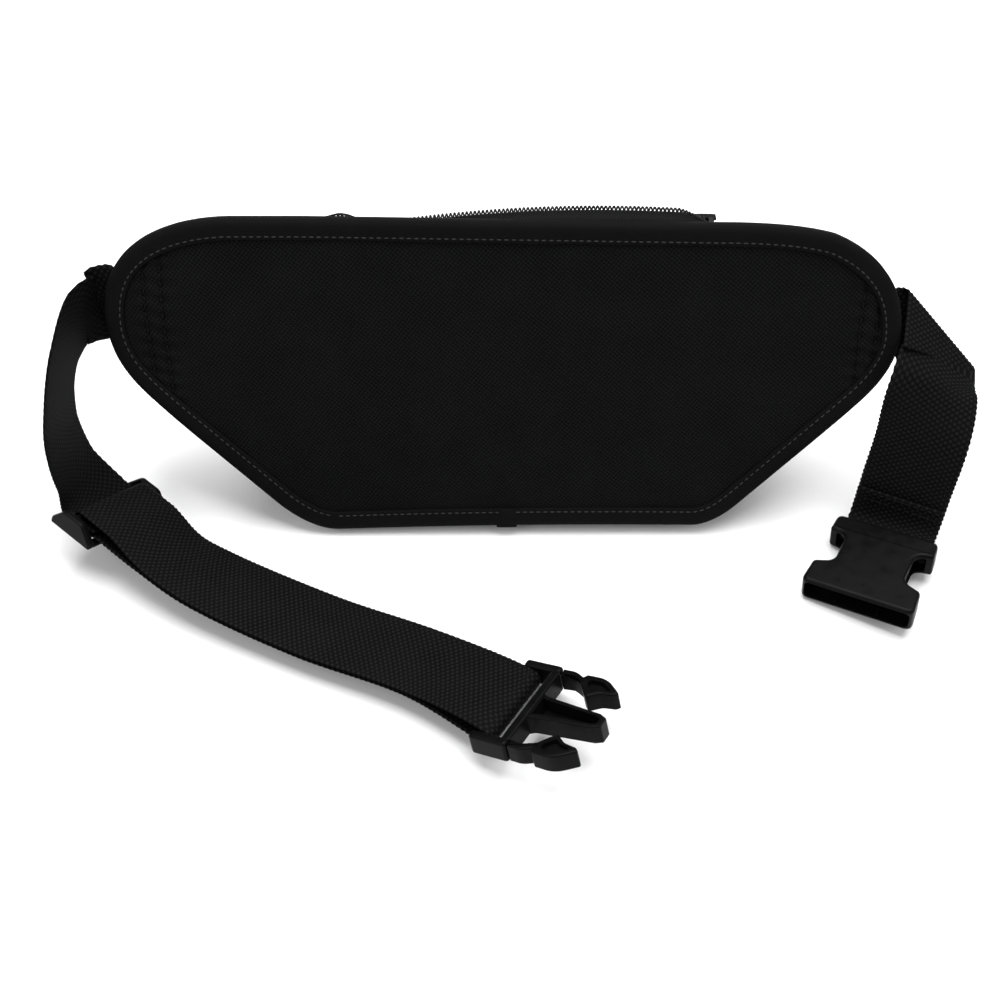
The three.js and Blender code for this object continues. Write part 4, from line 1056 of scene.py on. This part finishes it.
def right_return():
    """The strap's tail, turned round the socket's bar and sewn back on the strap."""
    at, radius = SOCKET_BAR["at"], SOCKET_BAR["radius"]
    turn = [turn_section(SOCKET_STRAP, at, 0, radius, a) for a in np.linspace(-80, 78, 30)]
    step = lambda t: LAYER + (2 * radius - LAYER) * smoothstep(t, 0.86, 1)
    back = [path_section(RIGHT_PATH, t, -step(t)) for t in np.linspace(0.985, 0.655, 120)]
    back = [(row, -up) for row, up in back]
    settle(webbing("right_return_cloth", turn + back), "right_strap", "webbing")
    runs = []
    for t in (0.668, 0.70):
        row, up = path_section(RIGHT_PATH, t, -step(t) - 0.75)
        runs.append((row[2:-2], -up[2:-2]))
    stitches("right_tail_stitches", runs, "dark_thread", "right_strap", "webbing", 3.0, 2.3, 0.36)


# Hard parts
def filleted(corners, steps=6):
    """A closed outline through (a, b, radius) corners, each rounded off."""
    outline = []
    for i, (a, b, radius) in enumerate(corners):
        p, before = point(a, b), point(*corners[i - 1][:2])
        after = point(*corners[(i + 1) % len(corners)][:2])
        toward, away = unit(before - p), unit(after - p)
        half = math.acos(max(-1.0, min(1.0, toward @ away))) / 2
        nearer = min(np.linalg.norm(before - p), np.linalg.norm(after - p))
        reach = min(radius / math.tan(half), 0.49 * nearer)
        t = np.linspace(0, 1, steps + 1)[:, None] if radius > 0 else np.zeros((1, 1))
        start, end = p + toward * reach, p + away * reach
        outline += list((1 - t) ** 2 * start + 2 * t * (1 - t) * p + t ** 2 * end)
    return np.array(outline)


def rectangle(a, b, radius):
    return [(a[0], b[0], radius), (a[1], b[0], radius), (a[1], b[1], radius), (a[0], b[1], radius)]


def mirrored(corners):
    """The corners of one half of an outline, and then the other half's."""
    return corners + [(a, -b, radius) for a, b, radius in reversed(corners)]


def prism(name, outline, low, high, edge, axes, dish=None):
    """An outline made thick, with rounded rims. axes are the origin and three directions.
    dish is (length share, width share, depth) of a hollow in its high side."""
    after = np.roll(outline, -1, 0)
    area = np.sum(outline[:, 0] * after[:, 1] - after[:, 0] * outline[:, 1])
    direction = unit(after - np.roll(outline, 1, 0)) * math.copysign(1, area)
    inward = np.stack([-direction[:, 1], direction[:, 0]], -1)
    rings = []
    arc = np.linspace(0, math.pi / 2, 4) if edge > 0 else np.array([math.pi / 2])
    for angle in arc:
        rings.append((edge * (1 - math.sin(angle)), low + edge * (1 - math.cos(angle))))
    rings += [(depth, low + high - level) for depth, level in reversed(rings)]
    origin, first, second, third = axes
    sections = [(outline + inward * depth, level) for depth, level in rings]
    if dish:
        length, width, depth = dish
        middle = (outline.min(0) + outline.max(0)) / 2
        hollow = middle + (outline - middle) * point(length, width)
        sections += [(hollow, high), (hollow * 0.97 + middle * 0.03, high - depth)]
    points = [origin + flat @ np.stack([first, second]) + level * third for flat, level in sections]
    count = len(outline)
    faces = grid_faces(len(sections), count, wrap_columns=True)
    faces += [list(range(count)), [(len(sections) - 1) * count + k for k in range(count)]]
    return make_piece(name, np.concatenate(points), faces, [LOOKS["plastic"]])


def rod(name, radius, half, a, b, axes):
    """A round bar along the third of its axes."""
    angle = np.linspace(0, 2 * math.pi, 24, endpoint=False)
    outline = beside(a + radius * np.cos(angle), b + radius * np.sin(angle))
    return prism(name, outline, -half, half, 0, axes)


def cut(body, *tools):
    """The body with the tools' shapes taken out of it."""
    for tool in tools:
        step = body.modifiers.new("cut", "BOOLEAN")
        step.operation, step.solver, step.object = "DIFFERENCE", "EXACT", tool
    bpy.context.view_layer.update()
    made = bpy.data.meshes.new_from_object(body.evaluated_get(bpy.context.evaluated_depsgraph_get()))
    body.modifiers.clear()
    body.data = made
    for tool in tools:
        bpy.data.objects.remove(tool)
    return body


def gather(body, *others):
    """The body and the others as one piece."""
    editable = bmesh.new()
    for part in (body, *others):
        editable.from_mesh(part.data)
    editable.to_mesh(body.data)
    editable.free()
    for part in others:
        bpy.data.objects.remove(part)
    return body


def plastic_part(piece, body, node):
    """Finishes a moulded piece and stands it in for its node."""
    mesh = piece.data
    mesh.materials.clear()
    mesh.materials.append(LOOKS["plastic"])
    mesh.polygons.foreach_set("use_smooth", [True] * len(mesh.polygons))
    mesh.polygons.foreach_set("material_index", [0] * len(mesh.polygons))
    mesh.set_sharp_from_angle(angle=math.radians(32))
    shine = piece.modifiers.new("normals", "WEIGHTED_NORMAL")
    shine.keep_sharp = True
    settle(piece, body, "buckle_plastic", node)


def flat_axes(f):
    return f.origin, f.along, f.across, f.up


def end_axes(f):
    return f.origin, f.across, f.up, f.along


def side_axes(f):
    return f.origin, f.along, f.up, f.across


def block(name, s, w, n, edge, f):
    """A block with rounded rims between two places along each of a frame's axes."""
    radius = 1.4 * edge
    return prism(name, filleted(rectangle(s, w, radius), 4), *n, edge, flat_axes(f))


def socket():
    """The socket: a flat shell, waisted by its two windows, with a tunnel and an open strap end."""
    half = [
        (0, 22, 3.2), (9.2, 22.6, 1.3), (10.6, 15.2, 6), (26.6, 15.0, 5), (29.6, 23, 2.6), (42.6, 24, 3.4),
    ]
    body = prism("socket_shell", filleted(mirrored(half), 8), -6, 6, 1.7, flat_axes(SOCKET))
    mouth = filleted(rectangle((-22.4, 22.4), (-4.4, 4.4), 2.6))
    tunnel = filleted(rectangle((-19.6, 19.6), (-4.1, 4.1), 1))
    body = cut(body, prism("mouth", mouth, 31.5, 50, 0, end_axes(SOCKET)),
               prism("tunnel", tunnel, -5, 40, 0, end_axes(SOCKET)))
    bar = rod("bar", 1.5, 20.5, SOCKET_BAR["at"], 0, side_axes(SOCKET))
    ribs = [block("rib", (31.6, 41), (w - 0.6, w + 0.6), (-5, -3.4), 0.2, SOCKET) for w in (-9, 9)]
    plastic_part(gather(body, bar, *ribs), "socket", "buckle_socket")


def plug():
    """The plug: a frame with a strap bar, and a hollow prong."""
    rails = [block("rail", (-13.8, 3), (low, low + 4), (-4.7, 4.7), 1.2, PLUG) for low in (19.6, -23.6)]
    cross = block("plug_frame", (-0.6, 3.2), (-20.4, 20.4), (-4.6, 4.6), 0.9, PLUG)
    half = [(2, 7.6, 0), (5.5, 6.3, 6), (30, 3.9, 1), (33, 2.4, 0.8)]
    prong = prism("prong", filleted(mirrored(half)), -4.3, 4.3, 0.6, flat_axes(PLUG), dish=(0.86, 0.62, 5.6))
    bar = rod("bar", 2.2, 20.5, PLUG_BAR["at"], 0, side_axes(PLUG))
    plastic_part(gather(cross, *rails, prong, bar), "plug", "buckle_plug")


def plug_arm(hand, body, node):
    """A sprung arm: a thin curved neck, and an arrow head with a hollow in it."""
    neck = [
        (3.5, 22.8, 0.3), (9, 23.1, 8), (13.6, 20.8, 2), (16, 19.4, 0.5), (14.4, 17, 0.5), (9, 19.8, 5),
        (3.5, 19.2, 0.3),
    ]
    head = [
        (14.2, 22.7, 1), (23, 23.1, 12), (31.2, 16.6, 1.1), (29.2, 14.9, 2), (24, 14.2, 5),
        (19.4, 10.8, 1.2), (17.6, 12.4, 1), (13.2, 18, 1.5), (13, 20.6, 1),
    ]
    neck, head = (filleted([(s, hand * w, radius) for s, w, radius in half]) for half in (neck, head))
    arm = prism(node + "_moulded", neck, -4.1, 4.1, 0.7, flat_axes(PLUG))
    tip = prism("head", head, -4.1, 4.1, 0.8, flat_axes(PLUG), dish=(0.6, 0.55, 1.9))
    plastic_part(gather(arm, tip), body, node)


def glide():
    """The adjuster: two raised rails, a bar at each end and one across the middle."""
    side = filleted([
        (-11.5, -4.4, 1.2), (11.5, -4.4, 1.2), (11.4, -1.4, 2),
        (5.2, 5.5, 3.5), (-5.2, 5.5, 3.5), (-11.4, -1.4, 2),
    ])
    rails = [prism("glide_frame", side, low, low + 3.4, 1.0, side_axes(GLIDE)) for low in (19.8, -23.2)]
    wide, thick = (-20.6, 20.6), (-4.3, -2.0)
    ends = [block("end_bar", (low, low + 3.6), wide, thick, 0.8, GLIDE) for low in (7.9, -11.5)]
    bar = rod("centre_bar", 1.3, 20.5, 0, CENTRE_BAR["high"], side_axes(GLIDE))
    plastic_part(gather(*rails, *ends, bar), "adjuster", "tri_glide")


def metal_parts():
    """The sliders and pull tabs keep the CAD's shape, with their edges rounded and enamelled."""
    for name in ("zip_slider", "zip_pull_tab", "pocket_zip_slider", "pocket_pull_tab", "zip_end_stop"):
        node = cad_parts[name]
        node.data.materials.clear()
        node.data.materials.append(LOOKS["metal"])
        bevel = node.modifiers.new("edges", "BEVEL")
        bevel.width, bevel.segments = 0.3 * MM, 2
        bevel.limit_method, bevel.angle_limit = "ANGLE", math.radians(35)
        node.data.polygons.foreach_set("use_smooth", [True] * len(node.data.polygons))
        node.modifiers.new("normals", "WEIGHTED_NORMAL")


# Stage
def look_at(thing, eye, target):
    """Puts a lamp or the camera at a place, in metres, and turns it to a target."""
    bpy.context.scene.collection.objects.link(thing)
    thing.location = eye
    thing.rotation_euler = Vector(point(*target) - point(*eye)).to_track_quat("-Z", "Y").to_euler()


def area_light(name, place, aim, size, power):
    data = bpy.data.lights.new(name, "AREA")
    data.shape = "RECTANGLE"
    data.size, data.size_y = size
    data.energy = power
    look_at(bpy.data.objects.new(name, data), place, aim)


def build_stage():
    """A pale floor, even light from all round and three soft lamps."""
    floor_look = Finish("floor_paper", 0.7, specular=0.2)
    floor_look.colour(floor_look.noise(40), (0.86, 0.86, 0.86), (0.88, 0.88, 0.88))
    half, level = 4.0, -0.0003
    corners = [(-half, -half, level), (half, -half, level), (half, half, level), (-half, half, level)]
    mesh = bpy.data.meshes.new("floor")
    mesh.from_pydata(corners, [], [(0, 1, 2, 3)])
    mesh.materials.append(floor_look.material)
    floor = bpy.data.objects.new("floor", mesh)
    bpy.context.scene.collection.objects.link(floor)
    world = bpy.data.worlds.new("studio")
    bpy.context.scene.world = world
    world.use_nodes = True
    sky = world.node_tree.nodes["Background"]
    sky.inputs["Color"].default_value = (1, 1, 1, 1)
    sky.inputs["Strength"].default_value = 0.35
    area_light("overhead", (0.1, 0.25, 1.3), (0, 0, 0), (1.4, 1.2), 34)
    area_light("window", (-1.1, -0.7, 1.0), (0, 0, 0.02), (1.0, 1.0), 9)
    area_light("fill", (1.2, -0.5, 0.9), (0, 0, 0.02), (0.9, 0.9), 5)
    bpy.context.scene.view_settings.view_transform = "Standard"


def build_camera():
    """The camera looks down on the pack's back from in front of it."""
    data = bpy.data.cameras.new("camera")
    data.sensor_width, data.lens = 36, 47.7
    data.clip_start, data.clip_end = 0.01, 20
    camera = bpy.data.objects.new("camera", data)
    look_at(camera, point(-4.456, -417.40, 448.89) * MM, point(-4.456, -15.92, 3.0) * MM)
    bpy.context.scene.camera = camera


back_pad()
pad_stitching()
edge_binding()
binding_stitching()
binding_overlap()
front_panel()
gusset()
seam_piping()
top_of_pouch()
main_zip()
front_pocket()
pocket_zip()
left_strap()
left_return()
right_strap()
right_return()
socket()
plug()
plug_arm(1, "plug_far_arm", "plug_arm_far")
plug_arm(-1, "plug_near_arm", "plug_arm_near")
glide()
metal_parts()
build_stage()
build_camera()
